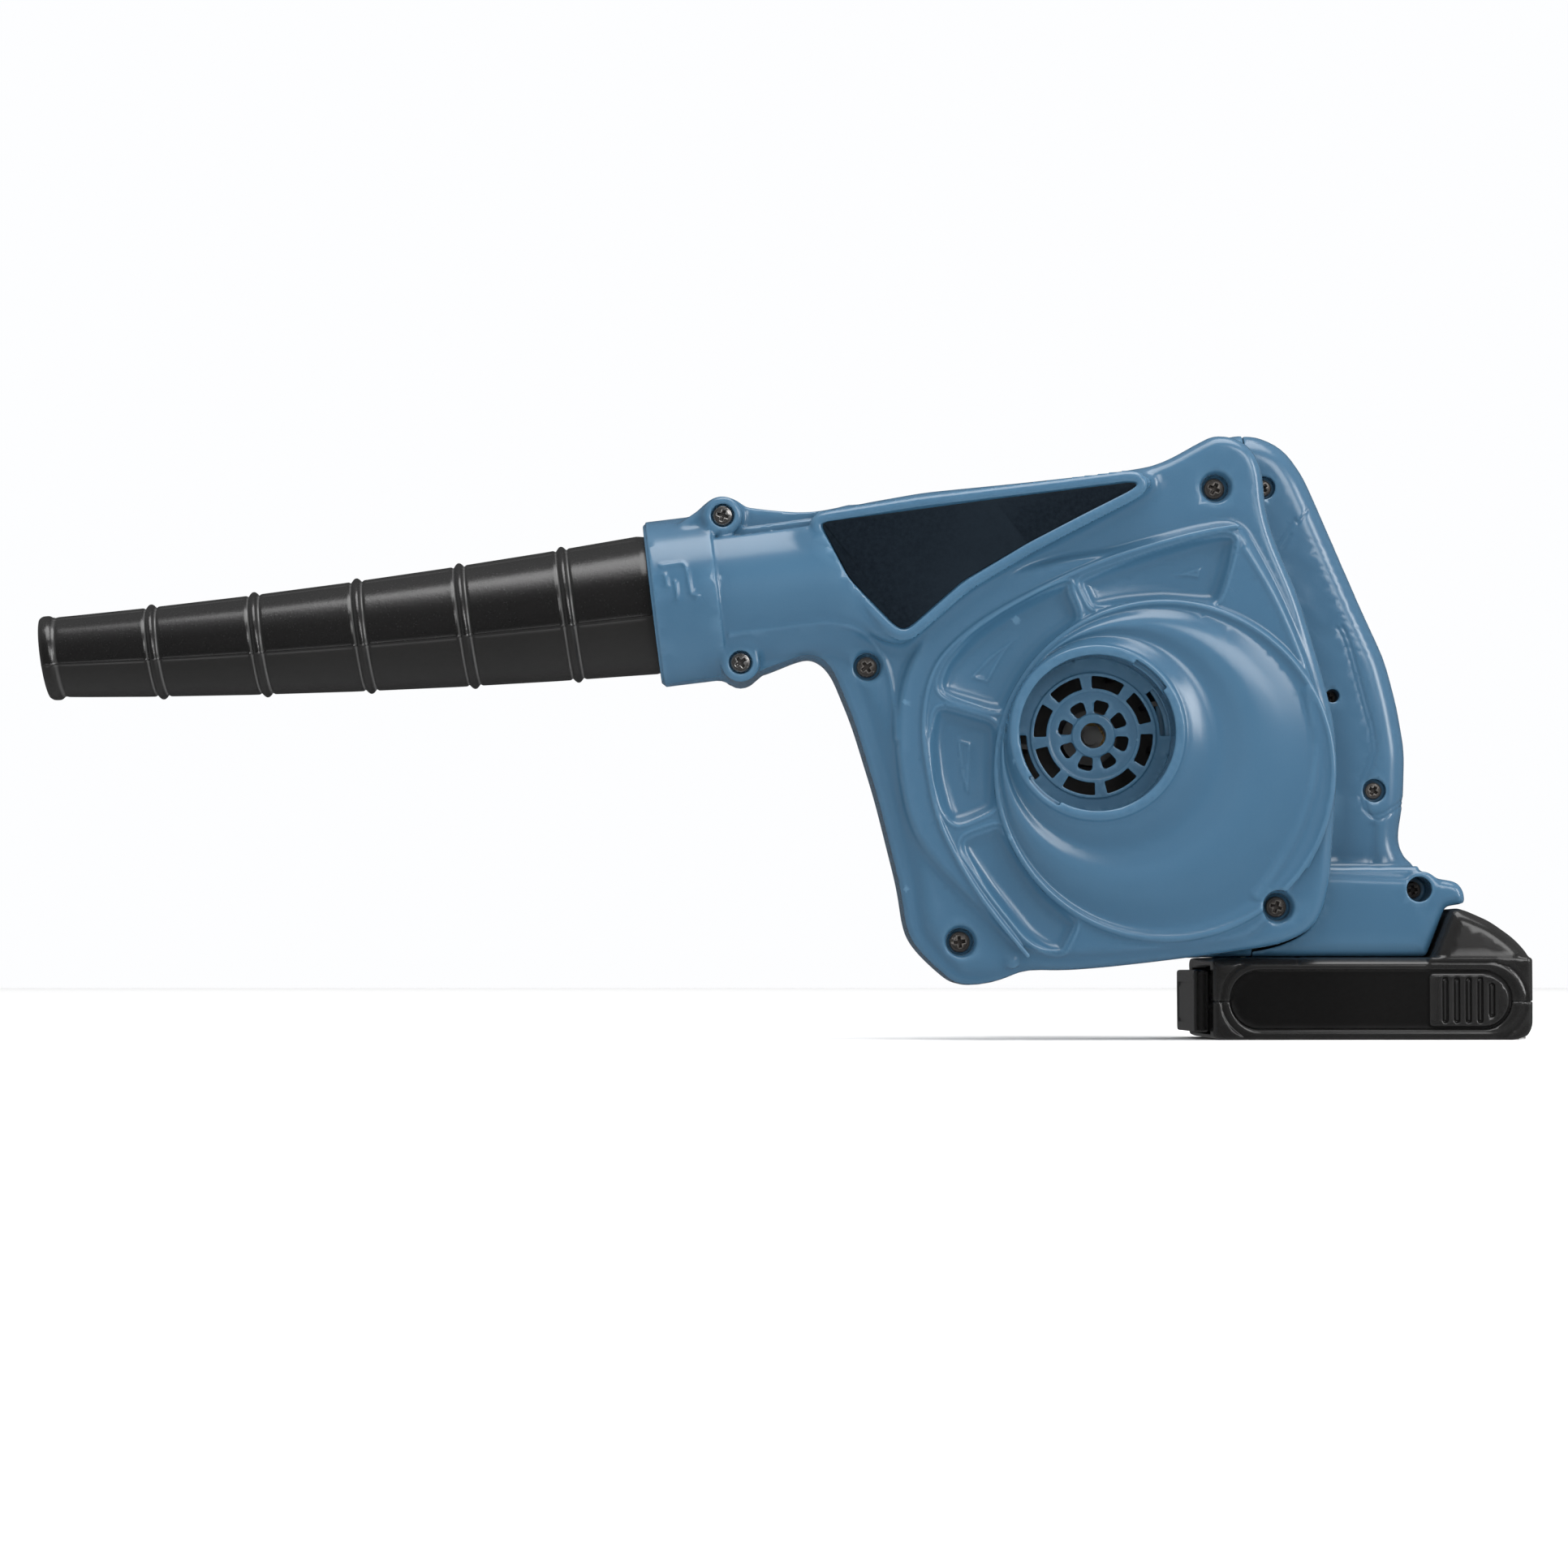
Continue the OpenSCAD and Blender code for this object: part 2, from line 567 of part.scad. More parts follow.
module motor_brushes() color("#3a3a3a") for (s = [-1, 1])
  translate([fan_x + s * 9.2 - 3, bell_y - 6, fan_z - 2.4]) cube([6, 4.8, 4.8]);

module brush_springs() color("silver") for (s = [-1, 1])
  translate([fan_x + s * 12.3, bell_y - 3.6, fan_z]) rotate([0, s * 90, 0]) coil(1.6, 0.3, 5.6, 5);

module armature_core() color("gray") difference() {
  bar([fan_x, fan_z], core_radius, can_y + 8, can_y + 36);
  bar([fan_x, fan_z], shaft_radius, can_y, bell_y);
  translate([fan_x, can_y + 37, fan_z]) rotate([90, 0, 0]) for (k = [0:7]) rotate([0, 0, 45 * k]) {
    translate([9, 0, 0]) cylinder(r = 2.6, h = 30);
    translate([9, -0.7, 0]) cube([8, 1.4, 30]);
  }
}

module windings() color("peru") difference() {
  union() {
    bar([fan_x, fan_z], 11.8, can_y + 4.4, can_y + 8);
    bar([fan_x, fan_z], 11.8, can_y + 36, can_y + 39.6);
    translate([fan_x, can_y + 37, fan_z]) rotate([90, 0, 0]) for (k = [0:7]) rotate([0, 0, 45 * k])
      translate([9, 0, 0]) cylinder(r = 2.2, h = 30);
  }
  bar([fan_x, fan_z], shaft_radius + 1, can_y, bell_y);
}

module commutator() color("orange") difference() {
  bar([fan_x, fan_z], 6, can_y + 41, bell_y - 0.6);
  bar([fan_x, fan_z], shaft_radius, can_y, bell_y + 1);
  translate([fan_x, bell_y, fan_z]) rotate([90, 0, 0]) for (k = [0:7]) rotate([0, 0, 45 * k])
    translate([5.2, -0.2, 0]) cube([2, 0.4, 12]);
}

module motor_shaft() color("lightgray")
  bar([fan_x, fan_z], shaft_radius, impeller_back_y - 17, bell_y + 5);

// Outer ring of a ball bearing. The inner ring and its balls turn with the shaft.
module bearing_outer(y) difference() {
  bar([fan_x, fan_z], bearing_r, y, y + bearing_w);
  bar([fan_x, fan_z], bearing_r - 1.2, y - 1, y + bearing_w + 1);
}
module bearing_inner(y) difference() {
  union() {
    bar([fan_x, fan_z], 3.7, y + 0.2, y + bearing_w - 0.2);
    translate([fan_x, y + bearing_w / 2, fan_z]) rotate([90, 0, 0]) for (k = [0:6])
      rotate([0, 0, 360 / 7 * k]) translate([4.3, 0, 0]) sphere(1 - spin_fit, $fn = 24);
  }
  bar([fan_x, fan_z], shaft_radius, y - 1, y + bearing_w + 1);
}
front_bearing_y = can_y - 1.6;
module front_bearing() color("silver") bearing_outer(front_bearing_y);
module front_bearing_inner() color("lightgray") bearing_inner(front_bearing_y);
module rear_bearing() color("silver") bearing_outer(bell_y);
module rear_bearing_inner() color("lightgray") bearing_inner(bell_y);

module motor_terminals() color("goldenrod") for (s = [-1, 1])
  translate([fan_x + s * 12.5 - 0.4, bell_y + 3, fan_z - 9]) cube([0.8, 6, 6]);

module motor_screws() color("silver") for (s = [-1, 1]) difference() {
  union() {
    bar([fan_x + s * 13, fan_z], 2.7, back_y - wall - 1.8, back_y - wall);
    bar([fan_x + s * 13, fan_z], screw_radius, back_y - wall - e, can_y + 4);
  }
  translate([fan_x + s * 13 - 2, back_y - wall - 2.4, fan_z - 0.4]) cube([4, 1.4, 0.8]);
}

module trigger() color("#1c1d1f") trigger_frame() difference() {
  union() {
    difference() {
      translate([-10, -trigger_half, -trigger_height / 2])
        cube([13, 2 * trigger_half, trigger_height]);
      translate([-21.5, 8, 0]) rotate([90, 0, 0]) cylinder(r = 15, h = 16);
    }
    translate([3, -trigger_half - 2, -trigger_height / 2 - 1.6])
      cube([2, 2 * trigger_half + 4, trigger_height + 3.2]);
  }
  translate([5 - 1.5, 0, 0]) rotate([0, 90, 0]) cylinder(r = 2.5, h = 4);
}

module switch_plunger() color("#e0e0d8") trigger_frame() translate([3.5, 0, 0])
  rotate([0, 90, 0]) cylinder(r = 2.5, h = 13.6);

module trigger_spring() color("silver") trigger_frame() translate([5.2, 0, 0])
  rotate([0, 90, 0]) coil(3.6, 0.4, 8.6, 3);

module switch_body() color("#26282a") trigger_frame() difference() {
  union() {
    translate([14, -switch_half, -11]) cube([14.5, 2 * switch_half, 22]);
    for (z = [-14, 10]) translate([22, -0.4, z]) cube([3, 0.8, 4]);
  }
  translate([13, 0, 0]) rotate([0, 90, 0]) cylinder(r = 2.5 + slide_gap, h = 11.5);
}

// Wire runs: along the motor tube, through the frame to the switch and the foot.
function tab_at(k) = [grip_x + 23.5 * cos(grip_tilt) - 15.4 * k * sin(grip_tilt), 0,
  grip_z + 23.5 * sin(grip_tilt) + 15.4 * k * cos(grip_tilt)];
wire_ring = can_radius + tube_gap / 2;
module red_wires() color("firebrick") {
  wire([[fan_x + 12.5, bell_y + 7, fan_z - 1.7], [fan_x + 15.6, bell_y + 7, fan_z + 8],
    [fan_x + wire_ring * cos(48), bell_y + 7, fan_z + wire_ring * sin(48)],
    [fan_x + wire_ring * cos(48), 6, fan_z + wire_ring * sin(48)],
    [fan_x + 16, 6, fan_z + 34], [fan_x + 17, 6, fan_z + 60], [-56, 6, 173], [-38, 6, 176],
    [-20, 6, 170], [-12, 3, 163], tab_at(1)]);
  wire([tab_at(-1), [2, 3, 124], [7, 5, 112], [5, 5, 98], [2, 5, 84], [0, 5, 66],
    [-8, 5, 50], [-30, 4, 44], [block_x, 3, 42], [block_x, 3, block_top + wire_radius + 0.1]]);
}
module black_wires() color("#151515") {
  wire([[fan_x - 12.9, bell_y + 7, fan_z - 1.4], [fan_x - 17, bell_y + 7, fan_z - 6],
    [fan_x - 15, bell_y + 7, fan_z - 13], [fan_x - 9, bell_y + 8, fan_z - 16],
    [fan_x + wire_ring * cos(48), bell_y + 7, fan_z - wire_ring * sin(48)],
    [fan_x + wire_ring * cos(48), 6, fan_z - wire_ring * sin(48)],
    [fan_x + 16, 6, fan_z - 36], [-58, 6, 50], [-46, 6.5, 44], [block_x, 6.5, 42],
    [block_x, 6.5, block_top + wire_radius + 0.1]]);
}

module terminal_block() color("#202224")
  translate([-44.6, -deck_half + 2, pack_height + 1.6]) cube([8.6, 2 * deck_half - 4, 7.6]);
module terminal_blades() color("goldenrod") for (y = [-8, 8])
  translate([-36, y - 0.4, pack_height + 2.4]) cube([20, 0.8, 5.6]);

module stadium(x0, x1, z0, z1) hull() {
  translate([x0 + (z1 - z0) / 2, (z0 + z1) / 2]) circle((z1 - z0) / 2);
  translate([x1 - (z1 - z0) / 2, (z0 + z1) / 2]) circle((z1 - z0) / 2);
}
module side_grooves() for (s = [0, 1]) mirror([0, s, 0])
  slab(pack_half - 0.7, pack_half + 1) difference() {
    stadium(pack_front + 2.6, pack_back - 2, 2.4, 25);
    stadium(pack_front + 6.1, pack_back - 6.8, 6, 21.5);
  }
// Space inside the battery case for cells, board and latch.
module pack_inside() {
  translate([pack_front + pack_wall + latch_depth, -pack_half + pack_wall, pack_wall])
    cube([pack_length - 2 * pack_wall - latch_depth, pack_width - 2 * pack_wall, pack_height - 2 * pack_wall]);
}
case_screw_at = [[pack_front + 8.8, 1], [pack_front + 8.8, -1], [pack_back - 4.4, 1], [pack_back - 4.4, -1]];
case_screw_y = pack_half - pack_wall - 1.2;
module case_bosses(z0, z1) for (p = case_screw_at)
  translate([p[0] - 2.1, p[1] * case_screw_y - 1.3, z0]) cube([4.2, 2.6, z1 - z0]);
// Recess at the front for the release button.
module latch_recess() translate([pack_front - 1, -latch_half - slide_gap, 1.8])
  cube([1 + latch_depth, 2 * (latch_half + slide_gap), 21.6]);
module hump_profile() translate([pack_back, 0]) soft(1.5) polygon([[-38.4, 20], [-8, 20], [0, 23],
  [-1.4, 28.3], [-6, 33.6], [-12.5, 38.6], [-20.9, hump_height - 1], [-23.9, hump_height],
  [-26.5, hump_height - 1.2], [-33, 26]]);

module battery_top_case() color("#17181a") difference() {
  union() {
    difference() {
      union() {
        translate([pack_front, -pack_half, seam_z])
          cube([pack_length, pack_width, pack_height - seam_z]);
        slab(-pack_half, pack_half) hump_profile();
        translate([deck_front, -deck_half, pack_height - 1])
          cube([deck_back - deck_front, 2 * deck_half, deck_top - pack_height + 1]);
        translate([deck_front, -deck_half - rail_reach, rail_low])
          cube([deck_back - deck_front, 2 * (deck_half + rail_reach), rail_high - rail_low]);
      }
      pack_inside();
      slab(-pack_half + pack_wall, pack_half - pack_wall) intersection() {
        offset(delta = -pack_wall) hump_profile();
        translate([pack_back - 22.4, 0]) square([40, 60]);
      }
      translate([deck_front + pack_wall, -deck_half + pack_wall, pack_height - 4])
        cube([deck_back - deck_front - 2 * pack_wall, 2 * (deck_half - pack_wall),
          deck_top - pack_height + 4 - pack_wall]);
    }
    case_bosses(seam_z, pack_height - 1);
  }
  latch_recess();
  // Slots for the housing's blades
  for (y = [-8, 8]) translate([deck_front - 1, y - 1.3, pack_height + 1.4])
    cube([21, 2.6, deck_top - pack_height]);
  // Slots for the latch tooth and its stem
  translate([pack_front + 5, -6.4, pack_height - pack_wall - 1]) cube([8.6, 12.8, pack_wall + 2]);
  translate([pack_front + 2, -6.4, stem_z - 0.4]) cube([6, 12.8, 2.6]);
  side_grooves();
  for (p = case_screw_at) translate([p[0], p[1] * case_screw_y, seam_z - 1])
    cylinder(r = case_screw_radius + thread_gap, h = 9);
}

module battery_bottom_case() color("#17181a") difference() {
  union() {
    difference() {
      translate([pack_front, -pack_half, 0]) cube([pack_length, pack_width, seam_z]);
      pack_inside();
    }
    case_bosses(1, seam_z);
  }
  latch_recess();
  side_grooves();
  for (p = case_screw_at) translate([p[0], p[1] * case_screw_y, -1]) {
    cylinder(r = 2.6, h = 3);
    cylinder(r = case_screw_radius + screw_gap, h = seam_z + 2);
  }
}

function cell_x(i) = pack_front + pack_wall + latch_depth + 0.1 + cell_radius + cell_pitch * i;
module battery_cells() color("mediumseagreen") for (i = [0:cell_count - 1])
  bar([cell_x(i), cell_z], cell_radius, -cell_length / 2, cell_length / 2);

module cell_holder() color("#3a3c3e") for (s = [-1, 1]) difference() {
  translate([cell_x(0) - cell_radius + 0.1, s * 24 - 3, pack_wall + 0.1])
    cube([(cell_count - 1) * cell_pitch + 2 * cell_radius - 0.2, 6, 2 * cell_radius + 1]);
  for (i = [0:cell_count - 1]) bar([cell_x(i), cell_z], cell_radius + 0.05, -40, 40);
}

// A strip on the ends of n cells from cell i on, at y.
module strip(i, n, y) translate([cell_x(i) - 4, y, cell_z - 3])
  cube([cell_pitch * (n - 1) + 8, 0.3, 6]);
module nickel_strips() color("silver") {
  for (i = [0:2:cell_count - 1]) strip(i, i + 1 < cell_count ? 2 : 1, cell_length / 2);
  for (i = [1:2:cell_count - 1]) strip(i, i + 1 < cell_count ? 2 : 1, -cell_length / 2 - 0.3);
  strip(0, 1, -cell_length / 2 - 0.3);
}

module battery_pcb() color("darkgreen") translate([deck_front + 4, -18, pcb_z + 0.6])
  cube([deck_back - deck_front - 11, 36, 1.6]);

module battery_contacts() color("goldenrod") for (y = [-8, 8]) for (s = [-1, 1])
  translate([deck_front + 6, y + s * 0.85 - 0.35, pcb_z + 2.2]) cube([10, 0.7, 9.4]);

module latch_button() color("#17181a") difference() {
  union() {
    translate([pack_front - 5.2, -latch_half, 2.4]) cube([4.8, 2 * latch_half, 20.4]);
    translate([pack_front - 1, -6, stem_z]) cube([9, 12, 1.8]);
    translate([pack_front + 5.4, -6, stem_z]) cube([4, 12, pack_height + 0.5 - stem_z]);
  }
  for (y = [-18, 18]) translate([pack_front - 3, y, 12]) rotate([0, 90, 0]) cylinder(r = 3, h = 6);
}

module latch_springs() color("silver") for (y = [-18, 18])
  translate([pack_front - 2.9, y, 12]) rotate([0, 90, 0]) coil(2.1, 0.35, 7, 4);

module battery_case_screws() color("silver") for (p = case_screw_at)
  translate([p[0], p[1] * case_screw_y, 0.4]) difference() {
    union() {
      cylinder(r = 2.3, h = 1.6);
      cylinder(r = case_screw_radius, h = seam_z + 6);
    }
    translate([0, 0, 0.3]) cube([3.2, 0.6, 1.2], center = true);
    translate([0, 0, 0.3]) cube([0.6, 3.2, 1.2], center = true);
  }

module cover_screws() color("#202020") for (p = cover_screw_at)
  screw(p, cover_seat_y - 2.2, cover_head_radius, 2.2, 16);
module collar_screws() color("gainsboro") for (p = collar_screw_at)
  screw(p, part_y - 17.6, collar_head_radius, 2, 26);
module handle_screws() color("#202020") for (p = handle_screw_at)
  screw(p, -grip_half + (p[1] < 60 ? -10 : 2), handle_head_radius, 2, p[1] < 60 ? 36 : 24);

fan_cover();
main_shell();
handle_shell_left();
side_label();
rating_plate();
intake_grille();
nozzle();
impeller();
impeller_bush();
impeller_nut();
motor_can();
motor_magnets();
motor_end_bell();
motor_brushes();
brush_springs();
armature_core();
windings();
commutator();
motor_shaft();
front_bearing();
front_bearing_inner();
rear_bearing();
rear_bearing_inner();
motor_terminals();
motor_screws();
trigger();
switch_plunger();
trigger_spring();
switch_body();
red_wires();
black_wires();
terminal_block();
terminal_blades();
battery_top_case();
battery_bottom_case();
battery_cells();
cell_holder();
nickel_strips();
battery_pcb();
battery_contacts();
latch_button();
latch_springs();
battery_case_screws();
cover_screws();
collar_screws();
handle_screws();
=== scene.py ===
# Cordless leaf blower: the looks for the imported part, piece by piece.
# Lengths in the making of the skins are millimetres, and meshes are made in metres.
import math

import bmesh
import bpy
import numpy as np
import openvdb
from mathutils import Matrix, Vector


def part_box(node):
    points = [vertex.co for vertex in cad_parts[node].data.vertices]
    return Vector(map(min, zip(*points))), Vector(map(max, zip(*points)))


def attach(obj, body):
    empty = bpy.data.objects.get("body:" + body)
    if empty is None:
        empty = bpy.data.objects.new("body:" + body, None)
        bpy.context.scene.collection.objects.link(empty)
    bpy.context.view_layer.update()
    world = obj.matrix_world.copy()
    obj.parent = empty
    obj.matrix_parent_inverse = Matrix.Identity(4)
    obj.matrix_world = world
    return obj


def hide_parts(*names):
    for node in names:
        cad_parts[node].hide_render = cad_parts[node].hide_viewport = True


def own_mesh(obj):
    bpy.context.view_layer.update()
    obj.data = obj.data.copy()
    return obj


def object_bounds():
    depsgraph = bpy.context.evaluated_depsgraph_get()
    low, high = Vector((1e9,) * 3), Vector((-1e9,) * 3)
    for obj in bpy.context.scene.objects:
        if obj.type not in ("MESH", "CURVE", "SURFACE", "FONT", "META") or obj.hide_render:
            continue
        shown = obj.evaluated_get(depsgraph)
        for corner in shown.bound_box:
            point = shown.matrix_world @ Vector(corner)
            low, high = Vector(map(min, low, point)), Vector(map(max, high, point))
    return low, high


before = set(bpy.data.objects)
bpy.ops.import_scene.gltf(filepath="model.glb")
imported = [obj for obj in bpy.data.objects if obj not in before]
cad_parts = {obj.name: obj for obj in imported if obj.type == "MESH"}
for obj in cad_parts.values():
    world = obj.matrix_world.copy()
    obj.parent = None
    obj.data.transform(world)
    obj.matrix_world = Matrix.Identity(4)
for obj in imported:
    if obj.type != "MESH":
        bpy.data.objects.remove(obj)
cad_box = [list(map(float, corner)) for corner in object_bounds()]

# ---------------------------------------------------------------------------
# Camera, floor and lamps
# A long lens stands square to the intake side, just above the floor. The floor
# is matt and pale. One large soft lamp hangs over the blower, with weaker fills.
low, high = (Vector(c) for c in cad_box)
camera = bpy.data.objects.new("camera", bpy.data.cameras.new("camera"))
bpy.context.scene.collection.objects.link(camera)
camera.location = (-0.202, -1.400, 0.0214)
aim = Vector((-0.1842, 0.0, 0.0846))
camera.rotation_euler = (aim - camera.location).to_track_quat("-Z", "Y").to_euler()
camera.data.lens = 96.6
camera.data.sensor_width = 36
camera.data.clip_end = 30
bpy.context.scene.camera = camera


def flat_floor():
    """A wide flat floor, as far back as the overhead panel lights it evenly."""
    points = [(x, y, low.z) for y in (-5.0, 5.0) for x in (-6.0, 6.0)]
    mesh = bpy.data.meshes.new("floor")
    mesh.from_pydata(points, [], [(0, 1, 3, 2)])
    floor = bpy.data.objects.new("floor", mesh)
    bpy.context.scene.collection.objects.link(floor)
    paint = bpy.data.materials.new("floor_paint")
    paint.use_nodes = True
    nodes, links = paint.node_tree.nodes, paint.node_tree.links
    shader = nodes["Principled BSDF"]
    shader.inputs["Roughness"].default_value = 0.8
    coords = nodes.new("ShaderNodeTexCoord")
    mottle = nodes.new("ShaderNodeTexNoise")
    mottle.inputs["Scale"].default_value = 3.0
    mix = nodes.new("ShaderNodeMix")
    mix.data_type = "RGBA"
    mix.inputs["A"].default_value = (0.88, 0.88, 0.88, 1)
    mix.inputs["B"].default_value = (0.91, 0.91, 0.91, 1)
    links.new(coords.outputs["Object"], mottle.inputs["Vector"])
    links.new(mottle.outputs["Fac"], mix.inputs["Factor"])
    links.new(mix.outputs["Result"], shader.inputs["Base Color"])
    floor.data.materials.append(paint)
    floor.visible_glossy = False


def soft_lamp(name, place, target, width, height, power):
    data = bpy.data.lights.new(name, "AREA")
    data.shape = "RECTANGLE"
    data.size, data.size_y, data.energy = width, height, power
    lamp = bpy.data.objects.new(name, data)
    bpy.context.scene.collection.objects.link(lamp)
    lamp.location = place
    lamp.rotation_euler = (Vector(target) - Vector(place)).to_track_quat("-Z", "Y").to_euler()
    return lamp


flat_floor()
middle = (low + high) / 2
overhead = soft_lamp("overhead_panel", (0, 1.0, 3.0), (0, 1.001, 0), 9.0, 11.0, 385)
overhead.visible_glossy = False
fill = soft_lamp("front_fill", (-0.35, -1.6, 0.35), middle, 0.7, 0.7, 9)
fill.visible_glossy = False
soft_lamp("key_lamp", (0.5, -1.15, 0.65), middle, 0.5, 0.5, 5)
soft_lamp("top_lamp", (0.0, -0.34, 1.5), middle, 1.4, 1.0, 22)
soft_lamp("side_lamp", (1.4, -0.9, 0.6), middle, 0.4, 0.8, 11)
world = bpy.data.worlds.new("studio")
world.use_nodes = True
sky = world.node_tree
surround = sky.nodes["Background"]
surround.inputs["Color"].default_value = (0.985, 0.99, 1.0, 1)
# White walls left, right and above, and black drapes in front and behind
toward = sky.nodes.new("ShaderNodeSeparateXYZ")
sky.links.new(sky.nodes.new("ShaderNodeTexCoord").outputs["Generated"], toward.inputs[0])
facing = sky.nodes.new("ShaderNodeMath")
facing.operation = "ABSOLUTE"
sky.links.new(toward.outputs["Y"], facing.inputs[0])
drape = sky.nodes.new("ShaderNodeMapRange")
sky.links.new(facing.outputs[0], drape.inputs["Value"])
for label, value in (("From Min", 0.30), ("From Max", 0.85), ("To Min", 0.40), ("To Max", 0.10)):
    drape.inputs[label].default_value = value
seen = sky.nodes.new("ShaderNodeLightPath")
strength = sky.nodes.new("ShaderNodeMix")
sky.links.new(seen.outputs["Is Camera Ray"], strength.inputs["Factor"])
sky.links.new(drape.outputs["Result"], strength.inputs["A"])
strength.inputs["B"].default_value = 1.0
sky.links.new(strength.outputs["Result"], surround.inputs["Strength"])
bpy.context.scene.world = world
bpy.context.scene.view_settings.view_transform = "Standard"


def packed_box(node):
    """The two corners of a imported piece, in millimetres."""
    return tuple(np.array(corner) * 1000 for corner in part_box(node))


fan_x, fan_z = -84.6, 98.5
cover_low, cover_high = packed_box("fan_cover")
part_y = cover_high[1]
collar_x, collar_z, collar_tilt = -227.5, 141.3, math.radians(7)
neck_radius, neck_wall = 25.0, 3.2
mouth_y = part_y - 24.4


class Block:
    """A block of points that a skin is carved from, negative inside the plastic."""

    def __init__(self, low, high, step):
        step = step * 1
        self.low, self.step = np.array(low, np.float32), step
        axes = [np.arange(a, b + step, step, dtype=np.float32) for a, b in zip(low, high)]
        self.y = axes[1][None, :, None]
        self.x2, self.z2 = np.meshgrid(axes[0], axes[2], indexing="ij")
        self.x, self.z = self.x2[:, None, :], self.z2[:, None, :]
        self.shape = (len(axes[0]), len(axes[1]), len(axes[2]))

    def window(self, points, margin):
        """The part of the side view within a margin of some points."""
        p = np.asarray(points, float)
        x, z = self.x2[:, 0], self.z2[0]
        i = np.searchsorted(x, [p[:, 0].min() - margin, p[:, 0].max() + margin])
        k = np.searchsorted(z, [p[:, 1].min() - margin, p[:, 1].max() + margin])
        return slice(*i), slice(*k)

    def line(self, points, margin=12.0, closed=False):
        """Distance from a line in the side view. Beyond the margin it is only a bound."""
        p = np.asarray(points, np.float32)
        out = np.full(self.x2.shape, margin, np.float32)
        i, k = self.window(p, margin)
        x, z = self.x2[i, k], self.z2[i, k]
        if x.size == 0:
            return out[:, None, :]
        best = np.full(x.shape, margin * margin, np.float32)
        ends = list(zip(p, np.roll(p, -1, 0))) if closed else list(zip(p[:-1], p[1:]))
        for a, b in ends:
            d = b - a
            t = ((x - a[0]) * d[0] + (z - a[1]) * d[1]) / max(float(d @ d), 1e-9)
            np.clip(t, 0, 1, out=t)
            np.minimum(best, (x - a[0] - t * d[0]) ** 2 + (z - a[1] - t * d[1]) ** 2, out=best)
        out[i, k] = np.sqrt(best)
        return out[:, None, :]

    def outline(self, points, margin=12.0):
        """Distance from a closed outline in the side view, negative inside it."""
        p = np.asarray(points, np.float32)
        out = self.line(p, margin, closed=True)[:, 0, :]
        i, k = self.window(p, 0.01)
        x, z = self.x2[i, k], self.z2[i, k]
        inside = np.zeros(x.shape, bool)
        for a, b in zip(p, np.roll(p, -1, 0)):
            if a[1] == b[1]:
                continue
            crosses = ((a[1] > z) != (b[1] > z)) & (x < (b[0] - a[0]) * (z - a[1]) / (b[1] - a[1]) + a[0])
            inside ^= crosses
        sign = np.ones(out.shape, np.float32)
        sign[i, k] = np.where(inside, -1, 1)
        return (out * sign)[:, None, :]

    def round(self, x, z):
        """Distance from an axis that runs along Y."""
        return np.hypot(self.x - x, self.z - z)


def flowing(corners, cut=100.0):
    """An outline round given corners, each eased by a curve that starts cut before it."""
    p = np.asarray(corners, float)
    out = []
    for a, b, c in zip(np.roll(p, 1, 0), p, np.roll(p, -1, 0)):
        la, lc = np.linalg.norm(a - b), np.linalg.norm(c - b)
        s = b + (a - b) / la * min(cut, 0.5 * la)
        e = b + (c - b) / lc * min(cut, 0.5 * lc)
        for t in np.linspace(0, 1, 5):
            out.append((1 - t) ** 2 * s + 2 * t * (1 - t) * b + t * t * e)
    return np.array(out)


def flowing_line(points, steps=6):
    """An open line that bends smoothly past its points."""
    p = np.asarray(points, float)
    out = [p[0]]
    for a, b, c in zip(p[:-2], p[1:-1], p[2:]):
        s, e = (a + b) / 2, (b + c) / 2
        for t in np.linspace(0, 1, steps):
            out.append((1 - t) ** 2 * s + 2 * t * (1 - t) * b + t * t * e)
    return np.array(out + [p[-1]])


def eased(a, b, r):
    """What lies inside both a and b, with the edge between them rounded to r."""
    return np.minimum(np.maximum(a, b), -r) + np.hypot(np.maximum(a + r, 0), np.maximum(b + r, 0))


def joined(a, b, k):
    """a and b in one moulding, with a fillet of about k where they meet."""
    h = np.maximum(k - np.abs(a - b), 0) / k
    return np.minimum(a, b) - h * h * k * 0.25


def cut(a, b, k=0.0):
    """a with b cut away, and the edge of the cut softened by about k."""
    if k == 0:
        return np.maximum(a, -b)
    return -joined(-a, b, k)


def engraved(f, d, depth):
    """A shallow step cut into the surface wherever d is negative."""
    return np.maximum(f, np.minimum(f + depth, -d))


def scored(f, d, width, depth):
    """A soft groove, or with a negative depth a soft bead, along d = 0."""
    return f + depth * np.exp(-(d / width) ** 2)


